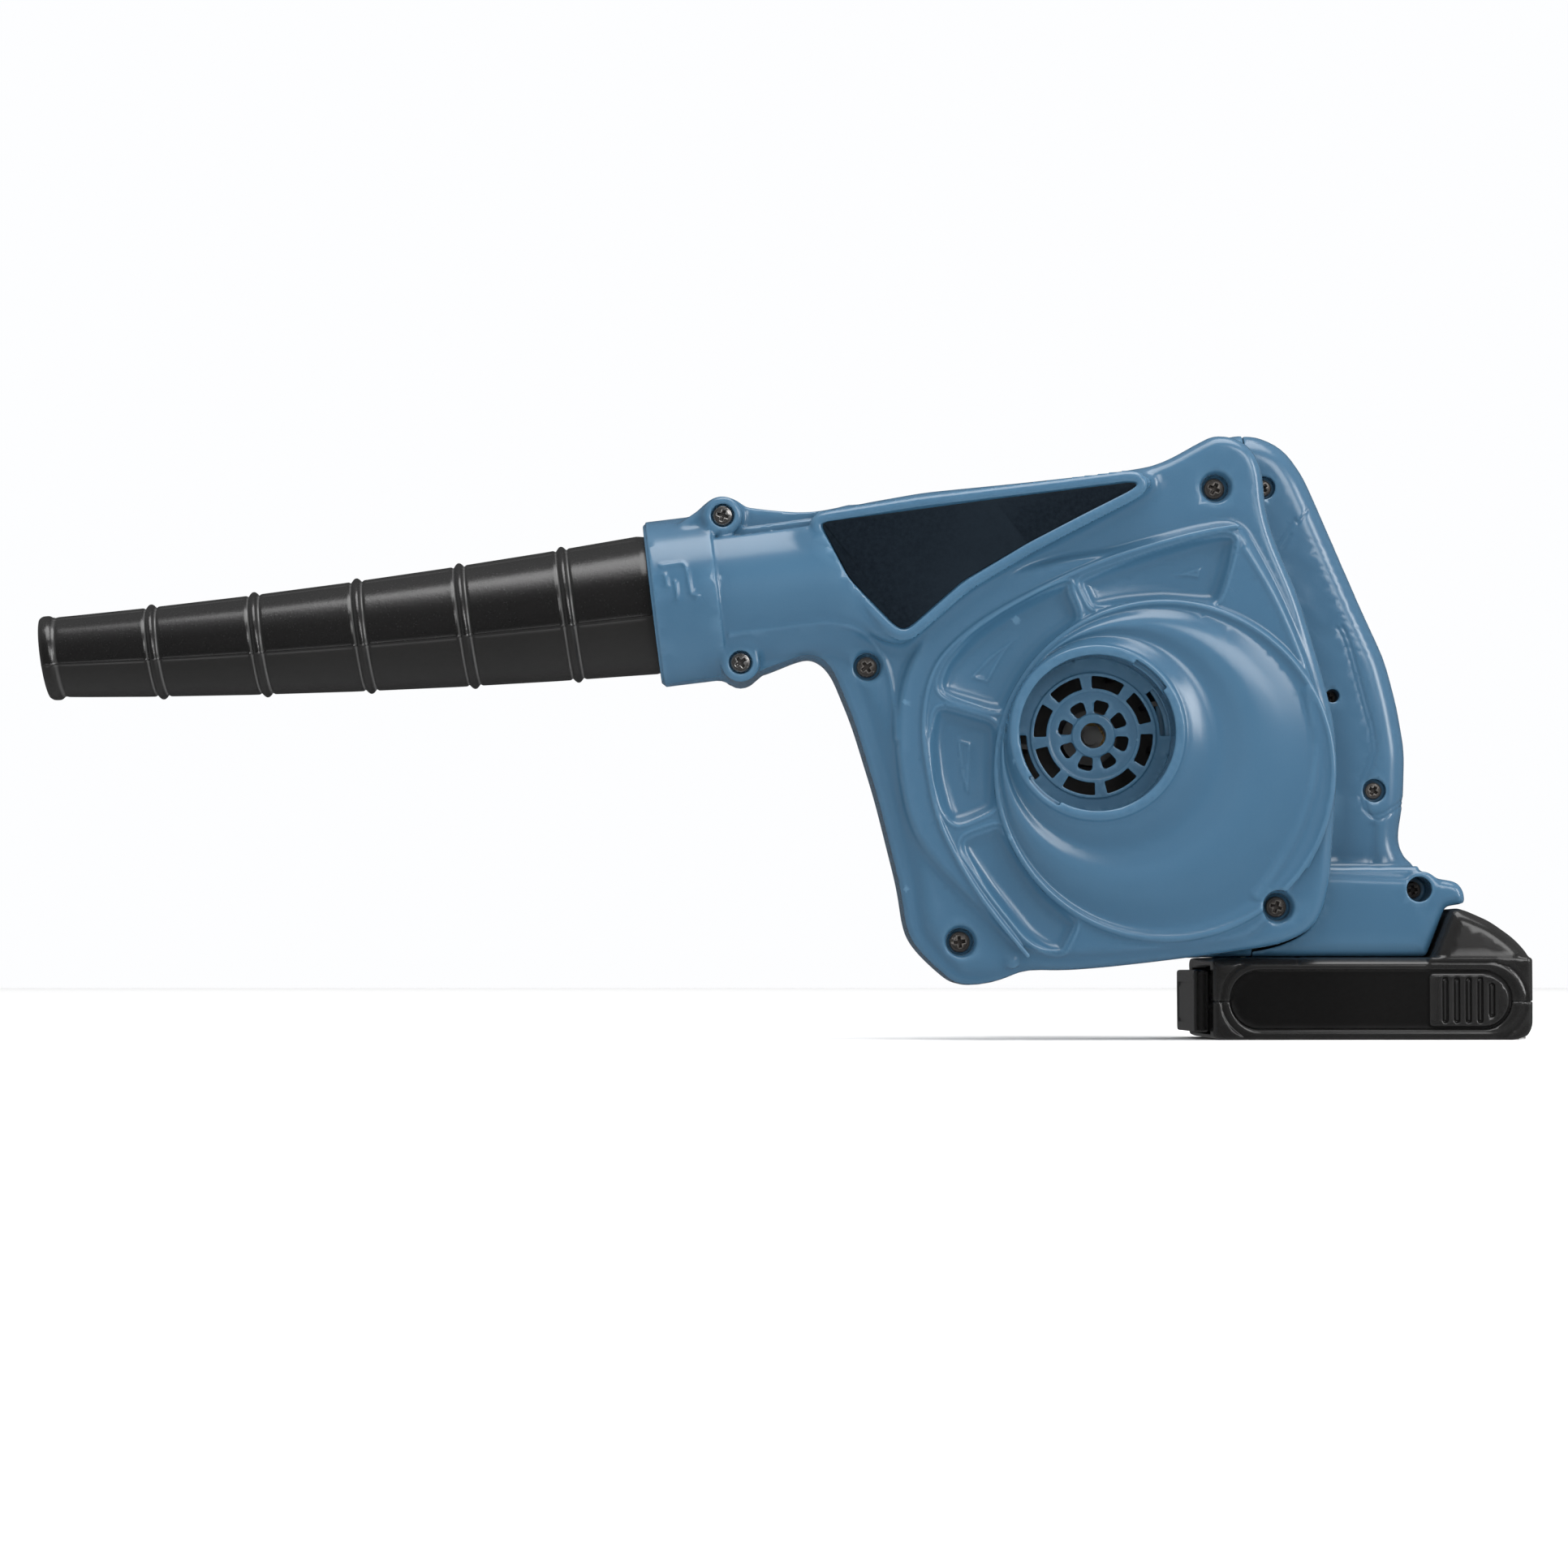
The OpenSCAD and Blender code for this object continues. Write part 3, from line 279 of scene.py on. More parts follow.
def carved(block, f, merge=0.02):
    """The skin where f is zero: its points, their normals, and its triangles and quads."""
    f = np.array(np.broadcast_to(f, block.shape), dtype=np.float32, order="C")
    for axis in range(3):
        for end in (0, -1):
            face = [slice(None)] * 3
            face[axis] = end
            f[tuple(face)] = np.maximum(f[tuple(face)], 0.3 * block.step)
    volume = openvdb.FloatGrid()
    volume.copyFromArray(f)
    points, thirds, quads = volume.convertToPolygons(isovalue=0.0, adaptivity=merge)
    slopes = np.gradient(f, block.step)
    top = np.array(block.shape) - 1.001

    def read(field, at):
        base = np.floor(at).astype(int)
        part = (at - base).astype(np.float32)
        i, j, k = base.T
        u, v, w = part.T
        value = 0
        for di in (0, 1):
            for dj in (0, 1):
                for dk in (0, 1):
                    weight = (u if di else 1 - u) * (v if dj else 1 - v) * (w if dk else 1 - w)
                    value = value + weight * field[i + di, j + dj, k + dk]
        return value

    at = points.astype(np.float32)
    for _ in range(3):
        at = np.clip(at, 0, top)
        g = np.stack([read(s, at) for s in slopes], 1)
        size = np.maximum((g * g).sum(1), 0.04)
        move = (read(f, at) / size / block.step)[:, None] * g
        at = at - np.clip(move, -0.6, 0.6)
    at = np.clip(at, 0, top)
    normals = np.stack([read(s, at) for s in slopes], 1)
    normals /= np.maximum(np.linalg.norm(normals, axis=1), 1e-6)[:, None]
    return at * block.step + block.low, normals, thirds.astype(int), quads.astype(int)


def assembled(name, shells, body, materials, replaces, finish_of=None):
    """One piece from shells of points, normals, triangles and quads, riding on a body."""
    count = np.cumsum([0] + [len(shell[0]) for shell in shells])
    places = np.concatenate([shell[0] for shell in shells])
    normals = np.concatenate([shell[1] for shell in shells])
    thirds = np.concatenate([shell[2].reshape(-1, 3) + n for shell, n in zip(shells, count)])
    quads = np.concatenate([shell[3].reshape(-1, 4) + n for shell, n in zip(shells, count)])
    mesh = bpy.data.meshes.new(name)
    sizes = np.concatenate([np.full(len(thirds), 3), np.full(len(quads), 4)]).astype(np.int32)
    corners = np.concatenate([thirds.ravel(), quads.ravel()]).astype(np.int32)
    mesh.vertices.add(len(places))
    mesh.vertices.foreach_set("co", (places / 1000).astype(np.float32).ravel())
    mesh.loops.add(len(corners))
    mesh.loops.foreach_set("vertex_index", corners)
    mesh.polygons.add(len(sizes))
    mesh.polygons.foreach_set("loop_start", np.concatenate([[0], np.cumsum(sizes)[:-1]]).astype(np.int32))
    mesh.polygons.foreach_set("use_smooth", [True] * len(sizes))
    if finish_of is not None:
        centres = np.concatenate([places[thirds].mean(1), places[quads].mean(1)])
        mesh.polygons.foreach_set("material_index", finish_of(centres).astype(np.int32))
    mesh.update(calc_edges=True)
    mesh.validate()
    if len(mesh.vertices) == len(normals):
        mesh.normals_split_custom_set_from_vertices(normals.tolist())
    piece = bpy.data.objects.new(name, mesh)
    bpy.context.scene.collection.objects.link(piece)
    for material in materials:
        mesh.materials.append(material)
    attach(piece, body)
    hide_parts(replaces)
    print(name, len(mesh.vertices), "points,", int((sizes - 2).sum()), "triangles")


def moulding(name, block, f, body, materials, replaces, finish_of=None, merge=0.02):
    """One piece whose whole skin is carved from one block."""
    assembled(name, [carved(block, f, merge)], body, materials, replaces, finish_of)


def effect(name, inputs, outputs):
    """An empty shader group with named sockets, and its two end nodes."""
    tree = bpy.data.node_groups.new(name, "ShaderNodeTree")
    for label, kind, value in inputs:
        socket = tree.interface.new_socket(label, in_out="INPUT", socket_type=kind)
        if value is not None:
            socket.default_value = value
    for label, kind in outputs:
        tree.interface.new_socket(label, in_out="OUTPUT", socket_type=kind)
    return tree, tree.nodes.new("NodeGroupInput"), tree.nodes.new("NodeGroupOutput")


def arithmetic(tree, kind, a, b=None, clamp=False):
    node = tree.nodes.new("ShaderNodeMath")
    node.operation, node.use_clamp = kind, clamp
    for socket, value in zip(node.inputs, (a, b)):
        if value is None:
            continue
        if isinstance(value, (int, float)):
            socket.default_value = value
        else:
            tree.links.new(value, socket)
    return node.outputs[0]


def moulded_grain():
    """Spark-eroded mould texture: fine pits over a softer orange peel."""
    tree, start, end = effect("moulded_grain",
        [("Vector", "NodeSocketVector", None), ("Grain Size", "NodeSocketFloat", 0.5),
         ("Peel Size", "NodeSocketFloat", 3.0), ("Peel Share", "NodeSocketFloat", 0.5)],
        [("Height", "NodeSocketFloat"), ("Speckle", "NodeSocketFloat")])
    pits = tree.nodes.new("ShaderNodeTexNoise")
    pits.inputs["Detail"].default_value = 3.0
    peel = tree.nodes.new("ShaderNodeTexNoise")
    peel.inputs["Detail"].default_value = 1.5
    tree.links.new(start.outputs["Vector"], pits.inputs["Vector"])
    tree.links.new(start.outputs["Vector"], peel.inputs["Vector"])
    tree.links.new(arithmetic(tree, "DIVIDE", 1000, start.outputs["Grain Size"]), pits.inputs["Scale"])
    tree.links.new(arithmetic(tree, "DIVIDE", 1000, start.outputs["Peel Size"]), peel.inputs["Scale"])
    fine = arithmetic(tree, "SUBTRACT", pits.outputs["Fac"], peel.outputs["Fac"])
    soft = arithmetic(tree, "MULTIPLY", fine, arithmetic(tree, "SUBTRACT", 1, start.outputs["Peel Share"]))
    tree.links.new(arithmetic(tree, "ADD", soft, peel.outputs["Fac"]), end.inputs["Height"])
    tree.links.new(pits.outputs["Fac"], end.inputs["Speckle"])
    return tree


def rubbed_and_highlit_edges():
    """Mask of the convex edges, painted paler partly as wear from handling and partly as a painted highlight
    where the edges catch the light.
    """
    tree, start, end = effect("rubbed_and_highlit_edges",
        [("Vector", "NodeSocketVector", None), ("Reach", "NodeSocketFloat", 0.04)],
        [("Mask", "NodeSocketFloat")])
    shape = tree.nodes.new("ShaderNodeNewGeometry")
    over = arithmetic(tree, "SUBTRACT", shape.outputs["Pointiness"], 0.5)
    mask = arithmetic(tree, "DIVIDE", over, start.outputs["Reach"], clamp=True)
    patchy = tree.nodes.new("ShaderNodeTexNoise")
    patchy.inputs["Scale"].default_value = 60
    tree.links.new(start.outputs["Vector"], patchy.inputs["Vector"])
    mask = arithmetic(tree, "MULTIPLY", mask,
        arithmetic(tree, "ADD", patchy.outputs["Fac"], 0.35, clamp=True))
    tree.links.new(mask, end.inputs["Mask"])
    return tree


def settled_dust():
    """Mask of the thin dust that lies on faces turned up, in patches set by noise."""
    tree, start, end = effect("settled_dust",
        [("Vector", "NodeSocketVector", None), ("Amount", "NodeSocketFloat", 0.15)],
        [("Mask", "NodeSocketFloat")])
    shape = tree.nodes.new("ShaderNodeNewGeometry")
    split = tree.nodes.new("ShaderNodeSeparateXYZ")
    tree.links.new(shape.outputs["Normal"], split.inputs[0])
    cloud = tree.nodes.new("ShaderNodeTexNoise")
    cloud.inputs["Scale"].default_value = 22
    cloud.inputs["Detail"].default_value = 5
    tree.links.new(start.outputs["Vector"], cloud.inputs["Vector"])
    up = arithmetic(tree, "ADD", arithmetic(tree, "MULTIPLY", split.outputs["Z"], 0.6), 0.4, clamp=True)
    mask = arithmetic(tree, "MULTIPLY", up, cloud.outputs["Fac"])
    tree.links.new(arithmetic(tree, "MULTIPLY", mask, start.outputs["Amount"]), end.inputs["Mask"])
    return tree


GRAIN, EDGE_WEAR_AND_HIGHLIGHT, DUST = moulded_grain(), rubbed_and_highlit_edges(), settled_dust()


def surfaced(name, colour, deep, edge_wear_highlight=(0.5, 0.5, 0.5), edge_wear_highlight_reach=0.05, roughness=(0.3, 0.42), grain=0.5,
            peel=3.0, peel_share=0.6, depth=0.02, dust=0.1, metallic=0.0, patch=9.0, shine=0.5):
    """A moulded or coated finish: two tones, grain, convex edges painted paler as wear and as a painted
    highlight, and a film of dust.
    """
    material = bpy.data.materials.new(name)
    material.use_nodes = True
    tree = material.node_tree
    nodes, links = tree.nodes, tree.links
    shader = nodes["Principled BSDF"]
    shader.inputs["Metallic"].default_value = metallic
    shader.inputs["Specular IOR Level"].default_value = shine
    coords = nodes.new("ShaderNodeTexCoord").outputs["Object"]

    def place(group, **values):
        node = nodes.new("ShaderNodeGroup")
        node.node_tree = group
        links.new(coords, node.inputs["Vector"])
        for label, value in values.items():
            node.inputs[label.replace("_", " ")].default_value = value
        return node.outputs

    def tone(mask, a, b):
        mix = nodes.new("ShaderNodeMix")
        mix.data_type = "RGBA"
        links.new(mask, mix.inputs["Factor"])
        for socket, value in (("A", a), ("B", b)):
            if isinstance(value, tuple):
                mix.inputs[socket].default_value = (*value, 1)
            else:
                links.new(value, mix.inputs[socket])
        return mix.outputs["Result"]

    surface = place(GRAIN, Grain_Size=grain, Peel_Size=peel, Peel_Share=peel_share)
    cloud = nodes.new("ShaderNodeTexNoise")
    cloud.inputs["Scale"].default_value = patch
    links.new(coords, cloud.inputs["Vector"])
    shade = arithmetic(tree, "ADD", arithmetic(tree, "MULTIPLY", surface["Speckle"], 0.6),
        cloud.outputs["Fac"])
    shade = arithmetic(tree, "MULTIPLY", arithmetic(tree, "SUBTRACT", shade, 0.5), 1.2, clamp=True)
    paint = tone(shade, deep, colour)
    # Convex edges painted paler: partly wear, partly a painted highlight along them
    worn_and_highlit = place(EDGE_WEAR_AND_HIGHLIGHT, Reach=edge_wear_highlight_reach)["Mask"]
    paint = tone(worn_and_highlit, paint, edge_wear_highlight)
    film = place(DUST, Amount=dust)["Mask"]
    paint = tone(film, paint, (0.45, 0.43, 0.4))
    links.new(paint, shader.inputs["Base Color"])
    rough = nodes.new("ShaderNodeMapRange")
    links.new(arithmetic(tree, "ADD", surface["Speckle"], film), rough.inputs["Value"])
    rough.inputs["From Min"].default_value, rough.inputs["From Max"].default_value = 0.3, 0.75
    rough.inputs["To Min"].default_value, rough.inputs["To Max"].default_value = roughness
    links.new(rough.outputs["Result"], shader.inputs["Roughness"])
    bump = nodes.new("ShaderNodeBump")
    bump.inputs["Strength"].default_value = 1.0
    bump.inputs["Distance"].default_value = depth / 1000
    links.new(surface["Height"], bump.inputs["Height"])
    links.new(bump.outputs["Normal"], shader.inputs["Normal"])
    return material


blue_plastic = surfaced("blue_plastic", (0.0315, 0.0845, 0.143), (0.0265, 0.073, 0.126),
    edge_wear_highlight=(0.062, 0.136, 0.211), edge_wear_highlight_reach=0.09, roughness=(0.20, 0.27), grain=0.45, peel=2.5,
    peel_share=0.25, depth=0.005, dust=0.02)

# The cover's outline and the lines of its relief, in the side view
cover_outline = flowing([[-205, 173.4], [-194, 171.4], [-185, 169.8], [-176, 169.1], [-169, 169.9],
    [-160, 172.4], [-140, 176.6], [-105, 179.8], [-77, 182.7], [-62, 186.6], [-50, 193.4], [-45, 195.8],
    [-37.5, 194.6], [-32, 190], [-29.8, 183], [-29.2, 173], [-26.5, 162.5], [-18.4, 143.4], [-11.8, 121.4],
    [-7.1, 103.3], [-6.2, 91], [-6.8, 76.5], [-8.9, 50], [-11.3, 41], [-14.6, 36.2], [-20, 33], [-27, 30.6],
    [-44, 28.2], [-64, 25.6], [-82, 23.6], [-95.5, 22.6], [-107, 23.1], [-115, 19.4], [-122, 18],
    [-129, 18], [-134.5, 22.2], [-142, 29.5], [-145.4, 35.7], [-147.2, 49], [-154.6, 78.6], [-162.2, 103.4],
    [-169.6, 121.4], [-176.4, 125.8], [-185, 122.2], [-193, 119], [-205, 118.4]], cut=6)
scroll_step = [[-95.3, 155.2], [-110.4, 151.3], [-125.5, 144.5], [-133, 139.3], [-141.9, 127.3],
    [-146.3, 117.4], [-148.6, 106], [-148.9, 97.1], [-148.1, 87], [-145.8, 73.5], [-142.1, 64.4],
    [-135.6, 55.8], [-126.8, 46.9]]
pocket_line = [[-38.8, 165.6], [-50, 163.8], [-66.4, 159.4], [-80.4, 155], [-95.5, 148.7],
    [-110.5, 141.2], [-123, 133.7], [-134.4, 123.5], [-138.3, 114.7], [-139.9, 105.9], [-140.1, 97],
    [-138.3, 84.6], [-135.7, 71.8], [-130.5, 60.4], [-123, 47.9], [-115.5, 37.8], [-106.6, 27.2]]
pockets = [
    [[-136.2, 113.5], [-133.1, 109.8], [-116.7, 105.1], [-113.6, 105.9], [-109.9, 113.5], [-105.5, 121],
     [-98, 128.5], [-90.2, 133.7], [-89.1, 137.4], [-92.3, 144.9], [-92.3, 148.4], [-100.6, 145.2],
     [-113.6, 138.2], [-124, 131], [-133, 121.5]],
    [[-91, 148.4], [-85.8, 137.9], [-75.1, 140.2], [-62.6, 141.3], [-46.2, 140], [-43.6, 142.6],
     [-40.5, 152.5], [-38.4, 161.3], [-41.3, 163.7], [-51.2, 161.7], [-66.8, 157.2], [-80.3, 152.6]],
    [[-136.6, 106.6], [-133.1, 107.7], [-116.6, 102.7], [-115.6, 97.1], [-116.4, 75], [-118.4, 73.2],
     [-126.8, 69.4], [-130.3, 69.1], [-133.6, 72.4], [-136.6, 84], [-138, 97.1]],
    [[-115.6, 70], [-127.6, 65.8], [-128.8, 61.7], [-119.4, 47.8], [-107.4, 32.6], [-100.6, 28],
     [-95.4, 27.4], [-93.2, 30.6], [-90, 37.6], [-92.2, 40], [-101, 47.6], [-108.5, 57.9], [-113.6, 66.7]]]
pocket_depths = [4.4, 4.4, 4.0, 3.8]
# Levels of the cover's faces along Y, from the parting face outward
web_y, cheek_y, body_y, rim_y, land_y = -45.4, -48.0, -50.6, -50.9, -55.2
collar_bore, duct_bore = 22.5, 20.4
screw_bore, bump_radius = 1.7, 6.2
label_seat = [[-175, 165.2], [-173.2, 167.4], [-141, 172.6], [-98.3, 177.8], [-73.7, 181], [-70.4, 180.2],
    [-69.9, 178], [-72.6, 175.6], [-89, 167.3], [-106.1, 158.3], [-126.5, 146], [-143.8, 130.9],
    [-147.3, 129.9], [-151, 132.2], [-165.5, 147.1]]
cover_screws_at = [(-45.2, 178.6), (-158, 120.5), (-128.1, 31.7), (-25.8, 43.0)]
collar_screws_at = [(-204.6, 168.8), (-198.8, 121.4)]


def duct_frame(block):
    """Distance back along the collar from its mouth, and distance from its axis."""
    dx, dz, dy = block.x - collar_x, block.z - collar_z, block.y - part_y
    along = dx * math.cos(collar_tilt) + dz * math.sin(collar_tilt)
    across = dz * math.cos(collar_tilt) - dx * math.sin(collar_tilt)
    return along, np.hypot(across, dy)


def duct_solid(block, edge):
    """Collar band with its lip, and the round duct that runs back inside the outline."""
    along, radius = duct_frame(block)
    lip = eased(radius - 26.2, -along, 0.6)
    band = eased(radius - 27, np.maximum(0.9 - along, along - 21.5), 0.5)
    limit = edge - 20 * np.clip((-196 - block.x) / 8, 0, 1)
    duct = np.maximum(eased(radius - 25.8, limit, 1.5), 20 - along)
    tail = eased(radius - 25.8, along - 72, 12)
    web = block.outline(flowing([[-222, 158], [-220, 165.6], [-212, 171.2], [-206, 174.6], [-199, 172],
        [-199, 158]], cut=4), 12)
    web = eased(web, np.abs(block.y - part_y) - 15.5, 2.5)
    collar = joined(np.minimum(np.maximum(lip, along - 22), band), web, 1.5)
    return joined(collar, np.maximum(duct, tail), 0.5)


def duct_hollow(block):
    along, radius = duct_frame(block)
    return np.minimum(np.maximum(radius - collar_bore, along - 17.3),
        np.maximum(radius - duct_bore, along - 64))


dome_at, dome_radius = (-62.4, 86.8), 53.9


def dome_height(block):
    """How far the dome stands out: a moat, a full swell and the cone up to the neck.

    It follows circles whose centre and radius shift evenly from the dome's rim to the
    neck. Halving finds which circle, from 0 to 1, each point of the side view is on.
    """
    rim, neck = (*dome_at, dome_radius), (fan_x, fan_z, 28.6)
    share = np.full(block.x2.shape, 0.5, np.float32)
    least, most = np.full_like(share, -0.4), np.full_like(share, 1.0)
    for _ in range(14):
        share = (least + most) / 2
        x, z, radius = (a + (b - a) * share for a, b in zip(rim, neck))
        inside = np.hypot(block.x2 - x, block.z2 - z) < radius
        least, most = np.where(inside, share, least), np.where(inside, most, share)
    steps = [0.0, 0.04, 0.09, 0.2, 0.34, 0.48, 0.6, 0.7, 0.76, 0.82, 0.9, 1.0]
    heights = [52.2, 51.4, 50.9, 52.0, 53.6, 54.4, 54.3, 53.5, 53.1, 53.4, 54.9, 57.2]
    fine = np.linspace(0, 1, 400)
    rise = np.interp(fine, steps, heights)
    for _ in range(3):
        rise = np.convolve(np.pad(rise, 12, mode="edge"), np.ones(25) / 25, mode="valid")
    return np.interp(share, fine, rise).astype(np.float32)[:, None, :]


def fan_cover():
    b = Block(cover_low - 1.5, cover_high + 1.5, 0.52)
    edge = b.outline(cover_outline, 30)
    # Flat face with wide rounding on the cheek under the duct and a smaller one elsewhere
    cheek = np.clip((-100 - b.x) / 40, 0, 1) * np.clip((150 - b.z) / 30, 0, 1)
    r = 4.0 + 8.0 * cheek
    front = cheek_y - b.y + 1.5 * cheek * np.clip((-140 - b.x) / 30, 0, 1)
    f = eased(edge, front, r)
    # Scroll body, which steps up inside a soft ridge
    body = flowing(scroll_step + [[-115.5, 36], [-106, 27.6], [-90, 27.2], [-64, 29.4], [-44, 31.8],
        [-33, 33.8], [-20, 52], [-12.6, 76], [-11, 96], [-15, 118], [-24, 141], [-33, 158], [-38.2, 167],
        [-50, 165.6], [-66.4, 161.2], [-80.4, 157.2]])
    f = joined(f, eased(b.outline(body, 20), body_y - b.y, 2.2), 2.6)
    # Plateau under the label, with its raised rim
    land = flowing([[-181, 165.5], [-161, 171.4], [-105, 178.2], [-70, 182.6], [-66, 180], [-69, 176],
        [-90, 164.6], [-107, 155.6], [-127.5, 143.5], [-144, 128.6], [-149, 127], [-158, 130.5],
        [-169, 142], [-178, 155]], cut=8)
    f = joined(f, eased(b.outline(land, 20), land_y - b.y, 3.5), 5.5)
    # Round duct and collar
    along = duct_frame(b)[0]
    f = joined(f, duct_solid(b, edge), 5.0)
    # Flat web above the duct, behind its ridge line
    for low_z, face_y in ((161.2, -48.2), (163.9, web_y)):
        ledge = b.outline([[-207.4, low_z], [-175.4, low_z + 4.2], [-172, low_z + 10], [-190, 190],
            [-207.4, 190]], 12)
        f = cut(f, np.maximum(ledge, b.y - face_y), 0.7)
    f = joined(f, eased(edge, web_y - b.y, 2.0), 0.8)
    # Rim around the pockets, and the curved rib from the duct round the cheek
    rim = b.line(flowing_line(pocket_line))
    f = joined(f, np.hypot(rim, b.y - rim_y) - 0.75, 1.2)
    cheek_rib = b.line(flowing_line([[-205, 129.4], [-191.6, 131.2], [-176, 133.4], [-168.2, 133.7],
        [-160.4, 131.7], [-153.9, 125.9], [-150.5, 117.6], [-149.4, 107.2], [-149.0, 97.1]]))
    f = scored(f, cheek_rib + 30 * (along < 23) + 30 * (b.y > -44), 0.9, -0.55)
    # Dished pockets, each a bowl with a fine bead round its mouth
    for points, depth in zip(pockets, pocket_depths):
        d = b.outline(flowing(points, cut=3.5))
        t = np.clip(-d / 6.0, 0, 1)
        middle_x, middle_z = np.mean(points, 0)
        dish = depth * (1 - (1 - t) ** 3) - 0.9 * (b.round(middle_x, middle_z) / 18) ** 2
        bowl = np.maximum(d, b.y - rim_y - np.maximum(dish, 0.4))
        f = cut(f, bowl, 0.35)
        f = scored(f, d - 0.5 + 10 * (b.y > -48), 0.5, -0.42)
    # Small pad beside the lower screw
    f = joined(f, np.hypot(b.round(-111.2, 24.8), (b.y + 47.6) * 1.8) - 1.3, 2.5)
    # Round dome, inside a rim bead
    disc = b.round(*dome_at)
    f = cut(f, np.maximum(disc - dome_radius, b.y + 50.2), 0.4)
    f = joined(f, np.maximum(disc - dome_radius, (-dome_height(b) - b.y) * 0.8), 0.6)
    f = joined(f, np.hypot(disc - (dome_radius + 0.4), b.y + 51.2) - 0.9, 1.2)
    # Crescent ridges on the right of the dome
    f = joined(f, np.hypot(b.line(flowing_line([[-16.5, 112], [-13.4, 98.6], [-14.8, 84], [-18.4, 71],
        [-25, 57.6], [-33, 46.5]])), (b.y + 50.2) * 0.9) - 1.1, 2.2)
    f = joined(f, np.hypot(b.line(flowing_line([[-36, 158], [-26.4, 142.6], [-17.8, 122], [-11.6, 103],
        [-9.8, 88], [-10.6, 70], [-16.5, 56]])), (b.y + 49.8) * 0.9) - 0.7, 1.6)
    # Raised rim and seat of the label
    seat = b.outline(flowing(label_seat, cut=3))
    f = joined(f, np.maximum(np.abs(seat) - 1.0, 0) + np.abs(b.y - land_y) - 1.25, 0.8)
    f = cut(f, np.maximum(seat + 1.4, b.y + 55.4), 0.2)
    # Bumps over the two collar screws
    for x, z in collar_screws_at:
        f = joined(f, eased(b.round(x, z) - bump_radius, -52.0 - b.y, 1.6), 3.0)
    # Hollow inside, with the tubes of the four screws left standing
    hollow = np.maximum(np.maximum(edge + 3.2, f + 2.2), -45.0 - b.y)
    for x, z in cover_screws_at:
        hollow = np.maximum(hollow, 7.2 - b.round(x, z))
    f = cut(f, hollow)
    # Intake neck with a rounded lip, stepped where an accessory locks in
    neck = b.round(fan_x, fan_z)
    ring = eased(eased(neck - (neck_radius + neck_wall), mouth_y - b.y, 0.9), b.y - part_y + 4.4, 0.3)
    f = joined(f, ring, 1.2)
    f = cut(f, np.maximum(neck - neck_radius, b.y + 42.4), 0.8)
    f = cut(f, np.maximum(neck - neck_radius - 0.5, np.abs(b.y + 41.2) - 1.2))
    f = cut(f, neck - (neck_radius - 1.6))
    angle = np.degrees(np.arctan2(b.z - fan_z, b.x - fan_x)) % 360
    for start, stop in ((33, 62), (213, 242)):
        slot = np.maximum(neck - 26.5, np.maximum(start - angle, angle - stop) * 0.45)
        f = cut(f, np.maximum(slot, b.y - mouth_y - 5.5), 0.3)
    # Deep screw recesses with a softened mouth
    for x, z in cover_screws_at:
        d = b.round(x, z)
        funnel = d - 4.2 - np.clip((-43.5 - b.y) / 4.0, 0, 1) ** 2 * 1.0
        f = cut(f, np.maximum(funnel, b.y - part_y + 7), 1.0)
        f = cut(f, d - screw_bore)
    for x, z in collar_screws_at:
        d = b.round(x, z)
        f = cut(f, np.maximum(d - 3.75, b.y + 49.6), 0.4)
        f = cut(f, d - screw_bore)
    # Lock mark raised on the collar
    front_only = 30 * (b.y > -54)
    for mark in ([[-224.2, 151.8], [-217.4, 152.8], [-216.2, 151.4], [-214.6, 142.6], [-212.2, 141.8]],
                 [[-222.8, 148.6], [-222.2, 145.2]], [[-219.6, 146.4], [-219.0, 141.0]]):
        f = scored(f, b.line(mark) + front_only, 0.55, -0.55)
    f = cut(f, duct_hollow(b))
    # Parting face, with its edge just broken
    f = eased(f, b.y - part_y, 0.35)
    moulding("fan_cover_skin", b, f, "housing", [blue_plastic], "fan_cover", merge=0.024)


fan_cover()

# ---------------------------------------------------------------------------
# Main shell
# The far half of the same blue ABS: back of the volute, the motor's tube with its
# vents, the right half of the grip and the foot whose channel takes the battery.
grip_half, foot_half = 17.0, 31.0
back_y = -8.0
main_low, main_high = packed_box("main_shell")
deck_half, rail_reach, rail_gap = 22.0, 3.0, 0.4
channel_top, rail_low = 35.6, 30.8
trigger_place, trigger_tilt = (-27.6, 136.0), math.radians(21.8)
trigger_half, trigger_height = 6.0, 28.0
grip_outline = flowing([[-104, 40], [-104, 171], [-77, 178.0], [-58, 186.2], [-47, 194.6], [-38, 199.8],
    [-28.5, 200.4], [-18.8, 196.2], [-12.4, 187.6], [-9, 180.2], [-3.6, 167.6], [6.6, 143.8],
    [15, 125.2], [18.9, 110], [21.4, 95], [20.8, 78], [18.7, 66], [20.6, 60.4], [24, 57.4], [24.4, 52],
    [24, 40], [-52, 31], [-98, 31]], cut=5)
finger_outline = flowing([[-59, 66], [-26, 64], [-18.6, 78], [-18.6, 100], [-23, 124], [-33, 149],
    [-42, 160], [-56, 160], [-62, 150]], cut=7)
foot_outline = flowing([[-51, 27], [25, 27], [31.4, 43.4], [37.8, 44.4], [37.4, 48.4], [35.4, 51.2],
    [32.4, 52], [25, 53], [-51, 55.4]], cut=1.6)
# Screws of the handle: where, how deep the head lies, and the radius of its recess
handle_screws_at = [((10.2, 81.8), -13.0, 3.8), ((22.6, 49.0), -16.0, 4.1),
    ((-25.8, 182.0), -13.0, 3.8), ((-3.4, 113.1), -5.0, 2.2)]


def trigger_frame(b):
    """Distance back along the trigger's travel from its middle, and distance up its face."""
    dx, dz = b.x - trigger_place[0], b.z - trigger_place[1]
    along = dx * math.cos(trigger_tilt) + dz * math.sin(trigger_tilt)
    return along, dz * math.cos(trigger_tilt) - dx * math.sin(trigger_tilt)


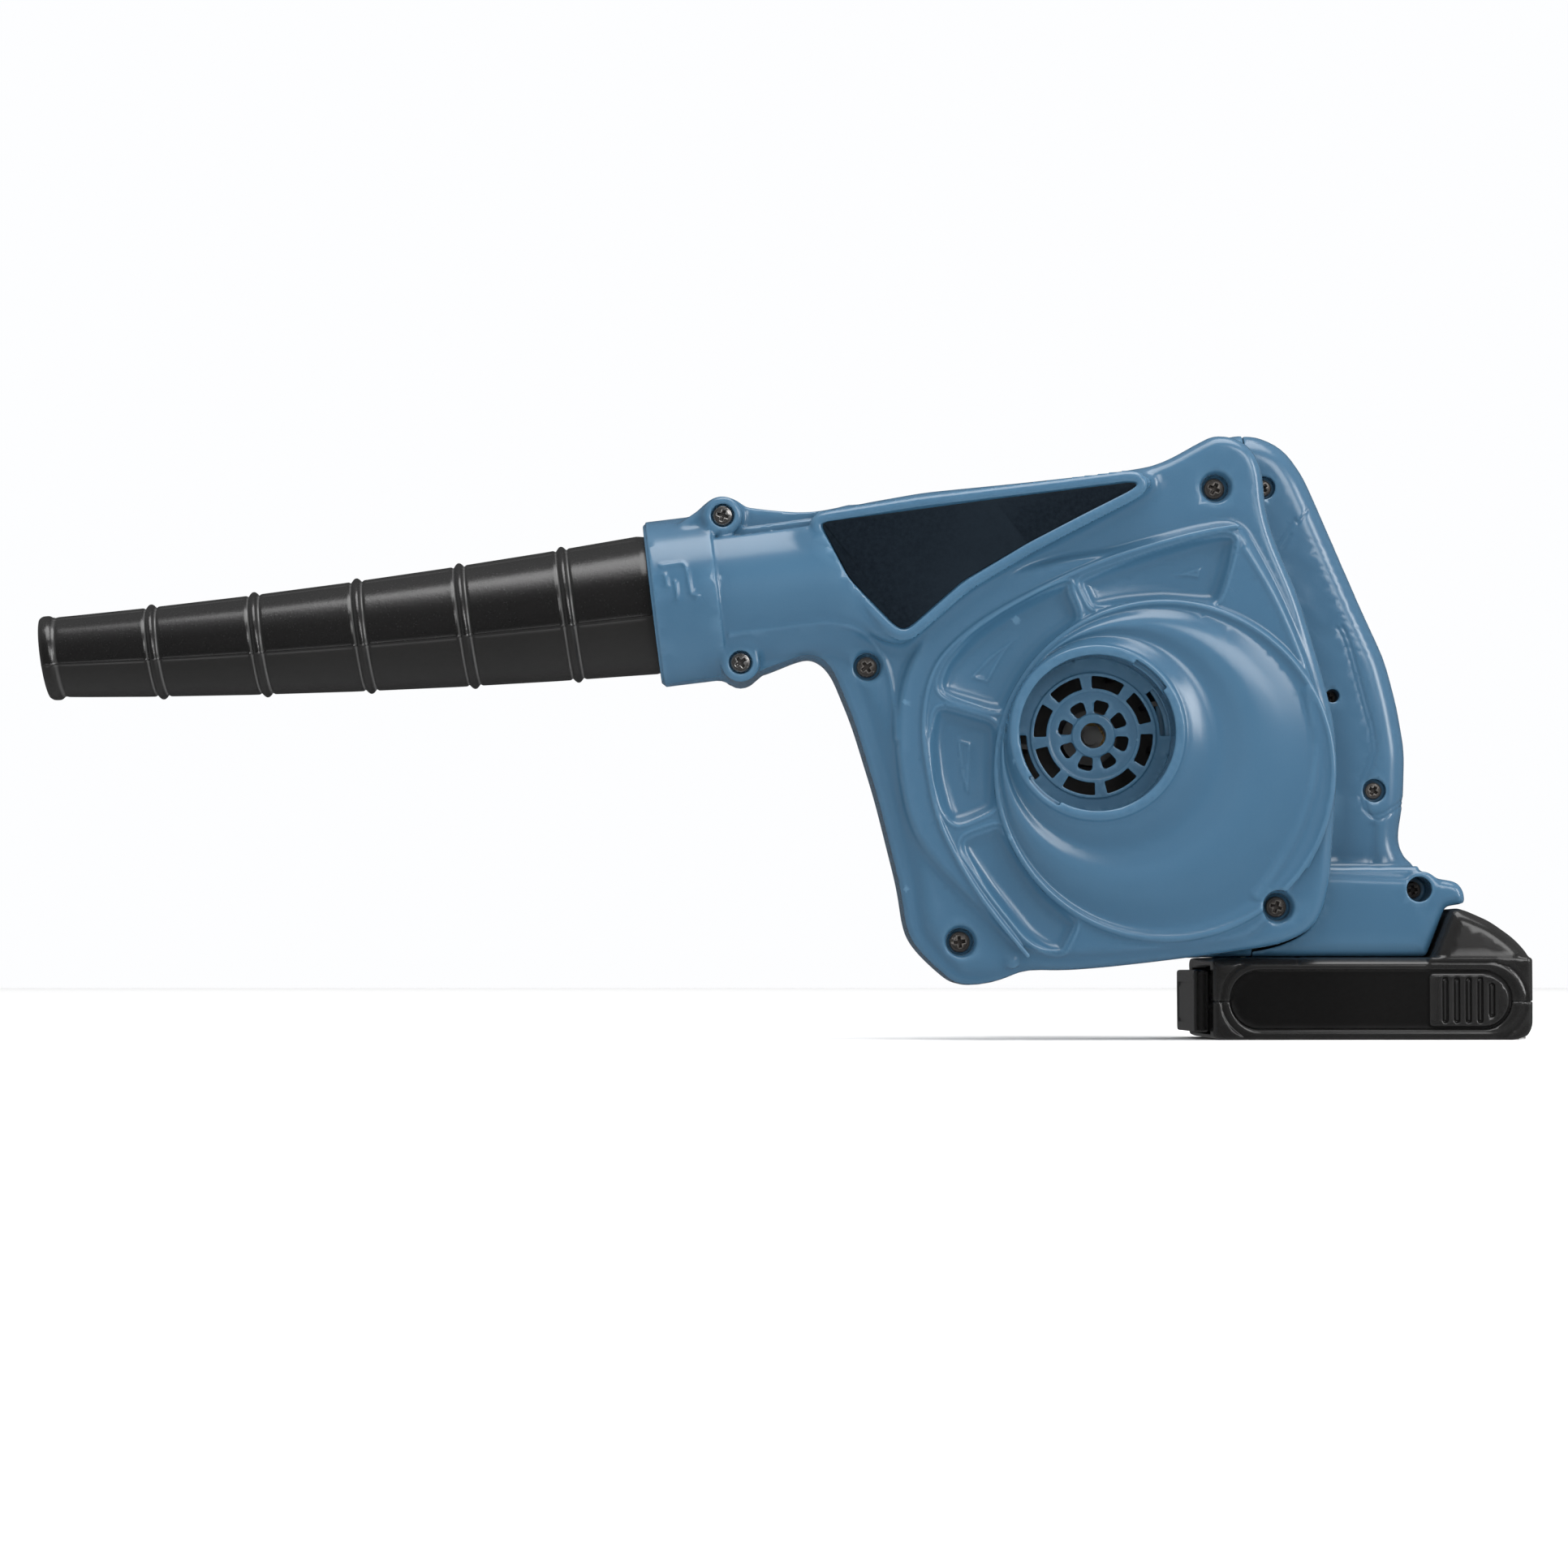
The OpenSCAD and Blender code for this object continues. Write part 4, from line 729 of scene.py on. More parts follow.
def battery_channel(b):
    """The slot under the foot for the battery's deck and rails."""
    deck = np.maximum(np.maximum(np.abs(b.y) - deck_half - rail_gap, b.z - channel_top), -45 - b.x)
    rails = np.maximum(np.abs(b.y) - deck_half - rail_reach - rail_gap,
                       np.maximum(np.abs(b.z - (channel_top + rail_low - rail_gap) / 2)
                                  - (channel_top - rail_low + rail_gap) / 2, -45 - b.x))
    return np.minimum(deck, rails)


def grip_relief(b, f):
    """Seven slanted slots round the grip's back edge, and the double line below them."""
    for i in range(7):
        x, z = -19.5 + 2.5 * abs(i - 2.2), 164.4 - 3.6 * i - 0.23 * i * i
        d = b.line([(x + 1.3, z), (x + 41.3, z - 14.6)], 8) - 1.35
        f = scored(f, d, 0.35, 0.06)
    for offset in (0.0, 1.5):
        line = flowing_line([[-1.6 + offset, 135.4 + offset * 0.4], [0.6 + offset, 132.2], [6 + offset, 110.9],
            [10.8 + offset, 93.8], [4.6 + offset, 84.6 - offset * 0.2], [6.2 + offset, 74.8 - offset * 0.3],
            [10.5 + offset * 0.4, 72.8 - offset], [16.3, 76.4 - offset], [26, 82 - offset]], 3)
        f = scored(f, b.line(line), 0.42, 0.3)
    for a in ([[-11.1, 174.8], [-14.6, 170], [-15.4, 171.5], [-21.6, 162.2]],
            [[-16.8, 166.5], [-19.4, 161.7]]):
        f = scored(f, b.line(a), 0.4, 0.25)
    return f


def grip_and_foot(b, side):
    """One half of the grip, rounded for the hand, blended down into the foot."""
    out = b.y * side
    grip = np.maximum(b.outline(grip_outline, 25), -b.outline(finger_outline, 14))
    f = eased(grip, out - grip_half, 8.5)
    f = joined(f, eased(b.outline(foot_outline, 25), out - foot_half, 3.2), 7.0)
    return f


def main_shell():
    b = Block(main_low - 1.5, main_high + 1.5, 0.78)
    edge = b.outline(cover_outline, 30)
    f = eased(edge, b.y - back_y, 5.0)
    f = joined(f, duct_solid(b, edge), 4.0)
    for x, z in collar_screws_at:
        f = joined(f, eased(b.round(x, z) - bump_radius, b.y + 16.0, 1.6), 3.0)
    # Ribs fanned over the back of the volute
    neck = b.round(fan_x, fan_z)
    angle = np.arctan2(b.z - fan_z, b.x - fan_x)
    spokes = np.abs(np.sin(angle * 7)) * neck / 7
    f = joined(f, np.maximum(np.maximum(spokes - 0.9, b.y - back_y - 1.4),
        np.maximum(edge + 7, neck - 66)), 1.6)
    handle = grip_and_foot(b, 1)
    near = np.maximum(np.minimum(b.outline(grip_outline, 25), b.outline(foot_outline, 25)), edge - 1.2)
    handle = np.minimum(np.maximum(handle, -b.y), np.maximum(near, np.maximum(b.y - 0.5, back_y - 0.5 - b.y)))
    # The front of the grip and foot crosses to the near side, up to the cover's edge
    crossing = np.maximum(grip_and_foot(b, -1), b.y - 0.5)
    handle = np.minimum(handle, np.maximum(crossing, np.maximum(b.x + 32.2, 0.4 - edge)))
    f = joined(f, handle, 1.2)
    # Motor tube with a rounded end, three raised bands and slotted sides
    tube_end = main_high[1]
    tube = eased(neck - 28.0, b.y - tube_end, 3.0)
    for y in (tube_end - 9, tube_end - 21, tube_end - 33):
        tube = tube + 0.5 * np.exp(-((b.y - y) / 0.7) ** 2)
    f = joined(f, np.maximum(tube, back_y - b.y), 3.0)
    f = cut(f, np.maximum(neck - 25.6, np.maximum(b.y - tube_end + 2.6, back_y - b.y)))
    for i in range(-2, 3):
        slot = np.maximum(np.abs(b.x - fan_x) - 14 + abs(i), np.abs(b.z - fan_z - 7 * i) - 1.6)
        f = cut(f, np.maximum(slot, tube_end - 6 - b.y), 0.4)
    # Seat of the rating plate
    plate = b.outline(flowing([[-36.4, 37.6], [8.4, 37.6], [8.4, 50.4], [-36.4, 50.4]], cut=2.4))
    f = engraved(f, np.maximum(plate, 25 - b.y), 0.35)
    f = grip_relief(b, f)
    # Hollow behind the back wall and inside the grip and foot
    hollow = np.maximum(edge + 3.0, b.y - back_y + 2.6)
    grip_room = np.maximum(b.outline(grip_outline, 25) + 3.0, np.maximum(-1 - b.y, b.y - grip_half + 3.4))
    hollow = np.minimum(hollow, grip_room)
    hollow = np.maximum(hollow, 3.0 - b.outline(finger_outline, 14))
    for x, z in cover_screws_at:
        hollow = np.maximum(hollow, 4.6 - b.round(x, z))
    f = cut(f, np.maximum(hollow, 39 - b.z))
    f = cut(f, battery_channel(b))
    wire_way = np.maximum(np.abs(b.x + 40.5) - 3.5, np.abs(b.y - 5) - 3.5)
    f = cut(f, np.maximum(wire_way, np.abs(b.z - 39) - 4.5))
    f = cut(f, duct_hollow(b))
    # Trigger opening
    along, up = trigger_frame(b)
    sides = np.maximum(np.abs(along + 1) - 11, np.abs(b.y) - trigger_half - 0.4)
    f = cut(f, np.maximum(np.abs(up) - trigger_height / 2 - 0.4, sides), 0.4)
    # Parting faces, with their edges just broken
    f = np.where(edge < 1.2, eased(f, part_y - b.y, 0.35), f)
    moulding("main_shell_skin", b, f, "housing", [blue_plastic], "main_shell")


main_shell()

# ---------------------------------------------------------------------------
# Left half of the handle
# The near half of the grip and foot, moulded in the same blue and screwed onto the
# main shell. Faint slanted slots run round its back edge for the palm.
left_low, left_high = packed_box("handle_shell_left")


def handle_shell_left():
    b = Block(left_low - 1.2, left_high + 1.2, 0.5)
    f = grip_and_foot(b, -1)
    # Soft ledge along the foot, a boss beside its screw, and shallow flutes up the grip
    f = joined(f, eased(b.round(23.6, 49.2) - 5.6, -30.6 - b.y, 1.2), 1.5)
    ledge = b.outline([[-60, 50], [-60, 56.6], [22.6, 56.6], [24.4, 52], [24.4, 46]], 20)
    ledge = eased(ledge, -b.y - foot_half + 1.2, 2.5)
    f = joined(f, ledge, 1.2)
    for line, width, depth in (([[-2, 60], [-1, 84], [-6, 108], [-14, 130]], 3.2, 0.5),
                               ([[9.5, 58], [9.6, 70]], 1.6, 0.4)):
        f = scored(f, b.line(flowing_line(line), 14) + 20 * (b.y > -12), width, depth)
    f = grip_relief(b, f)
    edge = b.outline(cover_outline, 12)
    f = cut(f, edge - 1.2, 0.3)
    f = np.maximum(f, -32.0 - b.x)
    # Hollow
    hollow = np.maximum(b.outline(grip_outline, 25) + 3.0, np.maximum(b.y - 2, -grip_half + 3.4 - b.y))
    hollow = np.maximum(hollow, 39 - b.z)
    for at, _, _ in handle_screws_at:
        hollow = np.maximum(hollow, 5.6 - b.round(*at))
    f = cut(f, hollow)
    f = cut(f, battery_channel(b))
    for at, head_y, recess in handle_screws_at:
        d = b.round(*at)
        f = cut(f, np.maximum(d - recess, b.y - head_y), 0.3)
        f = cut(f, d - screw_bore)
    f = eased(f, b.y, 0.35)
    moulding("handle_left_skin", b, f, "housing", [blue_plastic], "handle_shell_left")


handle_shell_left()

# ---------------------------------------------------------------------------
# Label and rating plate
# Die-cut foil, dark navy with a fine matt fleck, pressed into its raised seat. The
# rating plate on the far side of the foot is the same foil, left blank.
label_foil = surfaced("label_foil", (0.0060, 0.0100, 0.0145), (0.0018, 0.0038, 0.0065),
    edge_wear_highlight=(0.0062, 0.0102, 0.0148), roughness=(0.5, 0.68), grain=0.45, peel=1.2, peel_share=0.2,
    depth=0.02, dust=0.005, patch=900, shine=0.03)


def foil(name, outline, face, back, ease, replaces):
    """A flat sheet cut to an outline, with its face edge rounded over."""
    p = np.array(outline) / 1000
    centre = p.mean(0)
    thick = face - back
    rings = [(0.0, back), (0.0, face - thick * 0.45), (ease * 0.3, face - thick * 0.12), (ease, face)]
    d = np.roll(p, -1, 0) - np.roll(p, 1, 0)
    inward = np.stack([-d[:, 1], d[:, 0]], 1) / np.maximum(np.linalg.norm(d, axis=1), 1e-9)[:, None]
    if ((centre - p) * inward).sum() < 0:
        inward = -inward
    points, faces, n = [], [], len(p)
    for inset, y in rings:
        q = p + inward * inset / 1000
        points += [(x, y / 1000, z) for x, z in q]
    for k in range(len(rings) - 1):
        for i in range(n):
            j = (i + 1) % n
            faces.append((k * n + i, k * n + j, (k + 1) * n + j, (k + 1) * n + i))
    faces.append(tuple(range((len(rings) - 1) * n, len(rings) * n)))
    faces.append(tuple(reversed(range(n))))
    mesh = bpy.data.meshes.new(name)
    mesh.from_pydata(points, [], faces)
    bm = bmesh.new()
    bm.from_mesh(mesh)
    bmesh.ops.triangulate(bm, faces=[g for g in bm.faces if len(g.verts) > 4])
    bmesh.ops.recalc_face_normals(bm, faces=bm.faces)
    bm.to_mesh(mesh)
    bm.free()
    mesh.materials.append(label_foil)
    piece = bpy.data.objects.new(name, mesh)
    bpy.context.scene.collection.objects.link(piece)
    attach(piece, "housing")
    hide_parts(replaces)


label_low, label_high = packed_box("side_label")
foil("side_label_foil", flowing([[-172.9, 165.2], [-171.6, 166.3], [-120, 173.3], [-73.2, 179.2],
    [-71.6, 178.6], [-71.8, 177.4], [-88.2, 169.0], [-106.3, 159.8], [-127.8, 147.2], [-144.4, 132.7],
    [-146.8, 131.8], [-149.3, 133], [-164.1, 148.2]], cut=2.5),
    label_low[1], label_high[1], 0.35, "side_label")
plate_low, plate_high = packed_box("rating_plate")
foil("rating_plate_foil", flowing([[plate_low[0], plate_low[2]], [plate_high[0], plate_low[2]],
    [plate_high[0], plate_high[2]], [plate_low[0], plate_high[2]]], cut=2.2), plate_high[1], plate_low[1],
    0.25, "rating_plate")

# ---------------------------------------------------------------------------
# Intake grille
# A blue moulded disc that snaps into the foot of the neck: a hub ring, eight petal
# holes, eight curved slots, and two long windows that an accessory's lugs pass.
grille_low, grille_high = packed_box("intake_grille")


def intake_grille():
    b = Block(grille_low - 0.8, grille_high + 0.8, 0.3)
    d = b.round(fan_x, fan_z)
    angle = np.degrees(np.arctan2(b.z - fan_z, b.x - fan_x))
    face = grille_low[1]
    f = eased(d - 25.3, face - b.y, 0.3)
    # Face stepped down between the rings, so the hub and slot rings stand a little proud
    f = np.maximum(f, -np.maximum(np.maximum(6.9 - d, d - 14.2), b.y - face - 0.35))
    f = np.maximum(f, -np.maximum(20.4 - d, b.y - face - 0.45))
    f = np.maximum(f, b.y - grille_high[1])
    f = cut(f, d - 4.1, 0.25)
    for k in range(8):
        a = math.radians(45 * k + 30)
        u = (b.x - fan_x) * math.cos(a) + (b.z - fan_z) * math.sin(a)
        v = -(b.x - fan_x) * math.sin(a) + (b.z - fan_z) * math.cos(a)
        petal = eased(eased(np.abs(v) - u * 0.235, 7.2 - d, 0.8), d - 11.5, 1.2)
        f = cut(f, petal, 0.25)
        turn = (angle - (45 * k + 30) + 180) % 360 - 180
        slot = eased(np.abs(d - 17.3) - 2.0, (np.abs(turn) - 16.5) * d * math.pi / 180, 0.4)
        f = cut(f, slot, 0.25)
    for start, stop in ((0, 38), (180, 217)):
        turn = (angle - (start + stop) / 2 + 180) % 360 - 180
        window = eased(np.abs(d - 23.2) - 1.5, (np.abs(turn) - (stop - start) / 2) * d * math.pi / 180, 0.4)
        f = cut(f, window, 0.2)
    moulding("intake_grille_disc", b, f, "housing", [blue_plastic], "intake_grille")


intake_grille()

# ---------------------------------------------------------------------------
# Nozzle
# Blow-moulded black polyethylene tube with five rolled rings and a lipped tip. Its
# root twists and locks in the collar. Fine leather grain above the mould's parting
# line and a smoother satin below it, with a flat strip along the top. The satin
# half is painted a paler grey, as a painted reflection of the floor.
tube_grain = surfaced("tube_grain", (0.0065, 0.0063, 0.0063), (0.0035, 0.0035, 0.0035),
    edge_wear_highlight=(0.05, 0.05, 0.05), edge_wear_highlight_reach=0.04, roughness=(0.17, 0.29), grain=0.5, peel=1.2, peel_share=0.3,
    depth=0.045, dust=0.005, patch=14, shine=0.5)
# Satin below the parting line, its grey painted paler than the grained half's as a painted reflection of the
# floor
tube_satin_painted_reflection = surfaced("tube_satin_painted_reflection", (0.0125, 0.0122, 0.0120), (0.0085, 0.0083, 0.0083),
    edge_wear_highlight=(0.07, 0.07, 0.07), edge_wear_highlight_reach=0.04, roughness=(0.34, 0.44), grain=0.4, peel=1.6, peel_share=0.35,
    depth=0.012, dust=0.02, patch=14, shine=0.35)
nozzle_length, stations = 199.0, 6
shown_length, ring_first, ring_pitch, mould_lean = 197.6, 27.0, 33.6, math.radians(7.8)
root_radius, tip_radius, nozzle_wall = 22.2, 12.2, 1.8
nozzle_bend, spigot = math.radians(3.8), 17.0


def swept(path, tilts, radii, turns, ahead=0.0):
    """Rings of points square to a path in the side view, each radius and lead given per turn."""
    upward = np.stack([-np.sin(tilts), np.cos(tilts)], 1)
    up, out = radii * np.cos(turns), radii * np.sin(turns)
    x = path[:, :1] + up * upward[:, :1] - ahead * upward[:, 1:]
    z = path[:, 1:] + up * upward[:, 1:] + ahead * upward[:, :1]
    return np.stack([x, part_y + out, z], 2)


def wrapped(rings):
    """A closed-round shell through rings of points, with its normals."""
    n, m = rings.shape[:2]
    index = np.arange(n * m).reshape(n, m)
    corners = [index[:-1], np.roll(index[:-1], -1, 1), np.roll(index[1:], -1, 1), index[1:]]
    quads = np.stack(corners, 2).reshape(-1, 4)
    points = rings.reshape(-1, 3)
    a, b, c, d = (points[quads[:, i]] for i in range(4))
    face = np.cross(c - a, d - b)
    normals = np.zeros_like(points)
    for i in range(4):
        np.add.at(normals, quads[:, i], face)
    normals /= np.maximum(np.linalg.norm(normals, axis=1), 1e-9)[:, None]
    return points, normals, np.zeros((0, 3), int), quads


def nozzle():
    segment = nozzle_length / stations
    tilts_at = collar_tilt - nozzle_bend * np.arange(stations) / (stations - 1)
    joints = [np.array([collar_x, collar_z])]
    for tilt in tilts_at:
        joints.append(joints[-1] - segment * np.array([math.cos(tilt), math.sin(tilt)]))
    joints = np.array(joints)
    rings_at = ring_first + ring_pitch * np.arange(stations - 1)
    # Stations along the tube, crowded where a ring or the lip needs them
    outer = [np.arange(-spigot, shown_length - 8, 1.5), np.arange(shown_length - 8, shown_length + 0.01, 0.4)]
    outer += [np.arange(at - 4.4, at + 4.4, 0.3) for at in rings_at]
    outer = np.unique(np.concatenate(outer).round(2))
    outer[-1] = shown_length
    knots = np.arange(stations + 1) * segment

    def centre(s):
        x = np.interp(s, knots, joints[:, 0]) + np.where(s < 0, -s * math.cos(collar_tilt), 0)
        z = np.interp(s, knots, joints[:, 1]) + np.where(s < 0, -s * math.sin(collar_tilt), 0)
        return np.stack([x, z], 1)

    def tilt(s):
        return np.interp(s, knots[:-1] + segment / 2, tilts_at)

    def taper(s):
        return root_radius + (tip_radius - root_radius) * np.clip(s, 0, nozzle_length) / nozzle_length

    count = 168
    turns = np.linspace(0, 2 * math.pi, count, endpoint=False)
    # Crowd the turns round the parting line, which runs a little below the middle
    seam = math.radians(104)
    for side in (seam, 2 * math.pi - seam):
        away = (turns - side + math.pi) % (2 * math.pi) - math.pi
        turns = turns - 0.10 * np.exp(-(away / 0.22) ** 2) * np.sign(away) * np.minimum(np.abs(away) * 6, 1)
    s = outer[:, None]
    turn = turns[None, :]
    r = taper(outer)[:, None] + 0.35 + 0 * turn
    for at in rings_at:
        d = s - at - r * np.cos(turn) * math.tan(mould_lean - float(tilt(at)))
        r = r + 0.95 * np.exp(-np.abs(d / 1.1) ** 2.6) - 0.45 * np.exp(-((np.abs(d) - 1.8) / 0.45) ** 2)
    lip = shown_length - s
    r = r + 1.0 * np.exp(-np.abs((lip - 2.0) / 2.0) ** 4) - 0.2 * np.exp(-((lip - 4.9) / 0.7) ** 2)
    from_top = np.minimum(turn, 2 * math.pi - turn)
    strip = 1 / (1 + np.exp((from_top - 0.33) / 0.025))
    shown = (s > 1.0) & (lip > 4.4)
    r = r + np.where(shown, 0.30 * strip - 0.25 * np.exp(-((from_top - 0.36) / 0.03) ** 2)
        - 0.22 * np.exp(-((from_top - 0.24) / 0.02) ** 2), 0)
    from_seam = np.minimum(np.abs(turn - seam), np.abs(turn - 2 * math.pi + seam))
    r = r + np.where(s > 0.5, 0.26 * np.exp(-(from_seam / 0.013) ** 2), 0)
    # Ribbed spigot inside the collar
    r = np.where(s < -0.2, np.minimum(r, root_radius) - 0.25 * (np.abs(s + 8.5) < 4), r)
    # The mouth leans like the rings
    def lead(at, radius):
        near = np.clip((at - shown_length + 14) / 9, 0, 1)[:, None]
        return radius * np.cos(turn) * np.tan(mould_lean - tilt(at))[:, None] * near * near * (3 - 2 * near)

    skin = swept(centre(outer), tilt(outer), r, turn, lead(outer, r))
    ends = []
    tip = np.array([shown_length])
    for inset in (0.2, 0.5, 0.8):
        ends.append(swept(centre(tip), tilt(tip), r[-1:] - inset, turn, lead(tip, r[-1:] - inset)))
    bore = np.arange(shown_length, -spigot - 0.1, -2.0)
    inner = np.where(bore > shown_length - 8, tip_radius - nozzle_wall + 0.4, taper(bore) - nozzle_wall)
    inner = inner[:, None] + 0 * turn
    inside = swept(centre(bore), tilt(bore), inner, turn, lead(bore, inner))
    rings = np.concatenate([skin, *ends, inside, skin[:1]])
    shells = [wrapped(rings[:, ::-1])]
    # Two lugs that turn into the collar's groove
    lug_profile = ((-17, 21), (-17, 23.8), (-16.6, 24.1), (-11.4, 24.1), (-11, 23.8), (-11, 21))
    lug_steps = 14
    for k in (0, math.pi):
        arc = np.linspace(math.radians(77), math.radians(107), lug_steps) + k
        lug = []
        for along, radius in lug_profile:
            a = np.array([along] * lug_steps)
            radii = np.full((lug_steps, 1), radius)
            lug.append(swept(centre(a), tilt(a), radii, -arc[:, None] - math.pi / 2)[:, 0])
        lug = np.array(lug).transpose(1, 0, 2)
        first, last = (end.mean(1, keepdims=True).repeat(len(lug_profile), 1) for end in (lug[:1], lug[-1:]))
        shells.append(wrapped(np.concatenate([first, lug, last])))

    # Faces below the parting line take the satin, painted paler as a painted reflection of the floor
    def lower_half(centres):
        s = np.clip((collar_x - centres[:, 0]), -spigot, nozzle_length)
        axis = centre(s)
        return (centres[:, 2] - axis[:, 1]) < math.cos(seam) * taper(s)

    assembled("nozzle_tube", shells, "nozzle", [tube_grain, tube_satin_painted_reflection], "nozzle", lower_half)


nozzle()

# ---------------------------------------------------------------------------
# Fan and motor
# Glass-filled nylon impeller on a brass bush, and a brushed motor: plated steel can,
# ferrite magnets, laminated core, copper windings and commutator, carbon brushes.
glass_nylon = surfaced("glass_nylon", (0.012, 0.012, 0.013), (0.007, 0.007, 0.008), edge_wear_highlight=(0.05, 0.05, 0.05),
    roughness=(0.5, 0.65), grain=0.5, peel=1.5, depth=0.015, dust=0.12)
plated_steel = surfaced("plated_steel", (0.42, 0.42, 0.40), (0.30, 0.30, 0.29), edge_wear_highlight=(0.6, 0.6, 0.58),
    roughness=(0.28, 0.45), grain=0.3, peel=2.0, depth=0.006, dust=0.04, metallic=1.0)
turned_brass = surfaced("turned_brass", (0.62, 0.42, 0.16), (0.45, 0.29, 0.10), edge_wear_highlight=(0.75, 0.55, 0.26),
    roughness=(0.25, 0.40), grain=0.3, peel=1.5, depth=0.006, dust=0.03, metallic=1.0)
drawn_copper = surfaced("drawn_copper", (0.62, 0.26, 0.12), (0.45, 0.16, 0.07), edge_wear_highlight=(0.8, 0.42, 0.24),
    roughness=(0.25, 0.42), grain=0.25, peel=0.9, depth=0.02, dust=0.03, metallic=1.0)
ferrite = surfaced("ferrite", (0.035, 0.034, 0.034), (0.02, 0.02, 0.021), edge_wear_highlight=(0.12, 0.12, 0.12),
    roughness=(0.45, 0.6), grain=0.3, peel=1.2, depth=0.012, dust=0.05)
pressed_carbon = surfaced("pressed_carbon", (0.03, 0.03, 0.032), (0.015, 0.015, 0.016), edge_wear_highlight=(0.1, 0.1, 0.1),
    roughness=(0.5, 0.65), grain=0.25, peel=1.0, depth=0.01, dust=0.02)


def carried_over(material, *names):
    """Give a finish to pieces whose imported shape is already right."""
    for name in names:
        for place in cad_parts[name].material_slots:
            place.material = material


blued_steel = surfaced("blued_steel", (0.022, 0.022, 0.024), (0.012, 0.012, 0.013), edge_wear_highlight=(0.12, 0.12, 0.12),
    roughness=(0.35, 0.5), grain=0.3, peel=1.5, depth=0.006, dust=0.03, metallic=0.6)
carried_over(glass_nylon, "impeller", "motor_end_bell")
carried_over(blued_steel, "impeller_nut", "motor_shaft")
carried_over(plated_steel, "motor_can", "armature_core", "brush_springs",
    "front_bearing", "front_bearing_inner", "rear_bearing", "rear_bearing_inner", "motor_screws")
carried_over(turned_brass, "impeller_bush", "motor_terminals")
carried_over(drawn_copper, "windings", "commutator")
carried_over(ferrite, "motor_magnets")
carried_over(pressed_carbon, "motor_brushes")

# ---------------------------------------------------------------------------
# Trigger, switch and wires
# The trigger is a black nylon slider with a scooped front for the finger. It pushes
# the plunger of the switch behind it, and two pairs of wires run to motor and foot.
slider_black = surfaced("slider_black", (0.013, 0.013, 0.014), (0.008, 0.008, 0.009), edge_wear_highlight=(0.06, 0.06, 0.06),
    roughness=(0.30, 0.42), grain=0.45, peel=1.6, peel_share=0.3, depth=0.02, dust=0.05)


def trigger():
    low_corner, high_corner = packed_box("trigger")
    b = Block(low_corner - 1.2, high_corner + 1.2, 0.4)
    along, up = trigger_frame(b)
    side = eased(np.abs(up) - trigger_height / 2, np.abs(b.y) - trigger_half, 1.6)
    blade = eased(eased(side, -10 - along, 1.2), along - 3.2, 0.2)
    scoop = 15 - np.hypot(along + 21.5, up)
    blade = eased(blade, scoop, 1.2)
    # Seven fine grip lines across the scoop
    for k in range(-3, 4):
        groove = np.hypot(up - 2.6 * k, np.maximum(along + 3.0, 0)) + 8 * (np.abs(b.y) > 4.4)
        blade = scored(blade, groove, 0.4, 0.3)
    flange = eased(eased(np.abs(up) - trigger_height / 2 - 1.6, np.abs(b.y) - trigger_half - 2, 0.8),
        np.abs(along - 4) - 1, 0.3)
    f = np.minimum(blade, flange)
    f = cut(f, np.maximum(np.hypot(up, b.y) - 2.5, 3.5 - along), 0.1)
    moulding("trigger_slider", b, f, "trigger", [slider_black], "trigger")


trigger()
white_nylon = surfaced("white_nylon", (0.72, 0.71, 0.66), (0.60, 0.59, 0.54), edge_wear_highlight=(0.85, 0.84, 0.8),
    roughness=(0.35, 0.5), grain=0.4, peel=1.6, depth=0.01)
red_insulation = surfaced("red_insulation", (0.48, 0.02, 0.015), (0.34, 0.012, 0.01), edge_wear_highlight=(0.6, 0.1, 0.08),
    roughness=(0.3, 0.42), grain=0.5, peel=2.2, depth=0.01)
black_insulation = surfaced("black_insulation", (0.014, 0.014, 0.015), (0.008, 0.008, 0.009),
    edge_wear_highlight=(0.07, 0.07, 0.07), roughness=(0.3, 0.42), grain=0.5, peel=2.2, depth=0.01)
carried_over(white_nylon, "switch_plunger")
carried_over(slider_black, "switch_body", "terminal_block")
carried_over(turned_brass, "terminal_blades")
carried_over(red_insulation, "red_wires")
carried_over(black_insulation, "black_wires")


def pressed_spring(name, node, body):
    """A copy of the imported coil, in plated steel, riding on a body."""
    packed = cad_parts[node]
    piece = bpy.data.objects.new(name, packed.data.copy())
    piece.matrix_world = packed.matrix_world
    bpy.context.scene.collection.objects.link(piece)
    piece.data.materials.clear()
    piece.data.materials.append(plated_steel)
    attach(piece, body)
    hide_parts(node)
    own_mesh(piece)


pressed_spring("trigger_coil_spring", "trigger_spring", "housing")

# ---------------------------------------------------------------------------
# Battery case
# Two black ABS halves screwed together, with a raised stadium ring on each side round
# a grained panel, a finger pad with five recessed bars, and the deck and rails that
# slide into the foot.
case_black = surfaced("case_black", (0.0085, 0.0083, 0.0082), (0.006, 0.0059, 0.0058),
    edge_wear_highlight=(0.022, 0.022, 0.022), edge_wear_highlight_reach=0.10, roughness=(0.17, 0.24), grain=0.4, peel=2.4,
    peel_share=0.3, depth=0.002, dust=0.005, patch=16, shine=0.36)
case_panel = surfaced("case_panel", (0.0040, 0.0038, 0.0038), (0.0010, 0.0010, 0.0010),
    edge_wear_highlight=(0.02, 0.02, 0.02), edge_wear_highlight_reach=0.08, roughness=(0.45, 0.60), grain=0.40, peel=0.9,
    peel_share=0.25, depth=0.03, dust=0.005, patch=16, shine=0.1)
case_low = packed_box("battery_bottom_case")[0]
case_high = packed_box("battery_top_case")[1]
pack_front, pack_back, pack_half = case_low[0], case_high[0], case_high[1]
pack_top, case_seam, pack_wall = 26.8, 12.5, 2.4
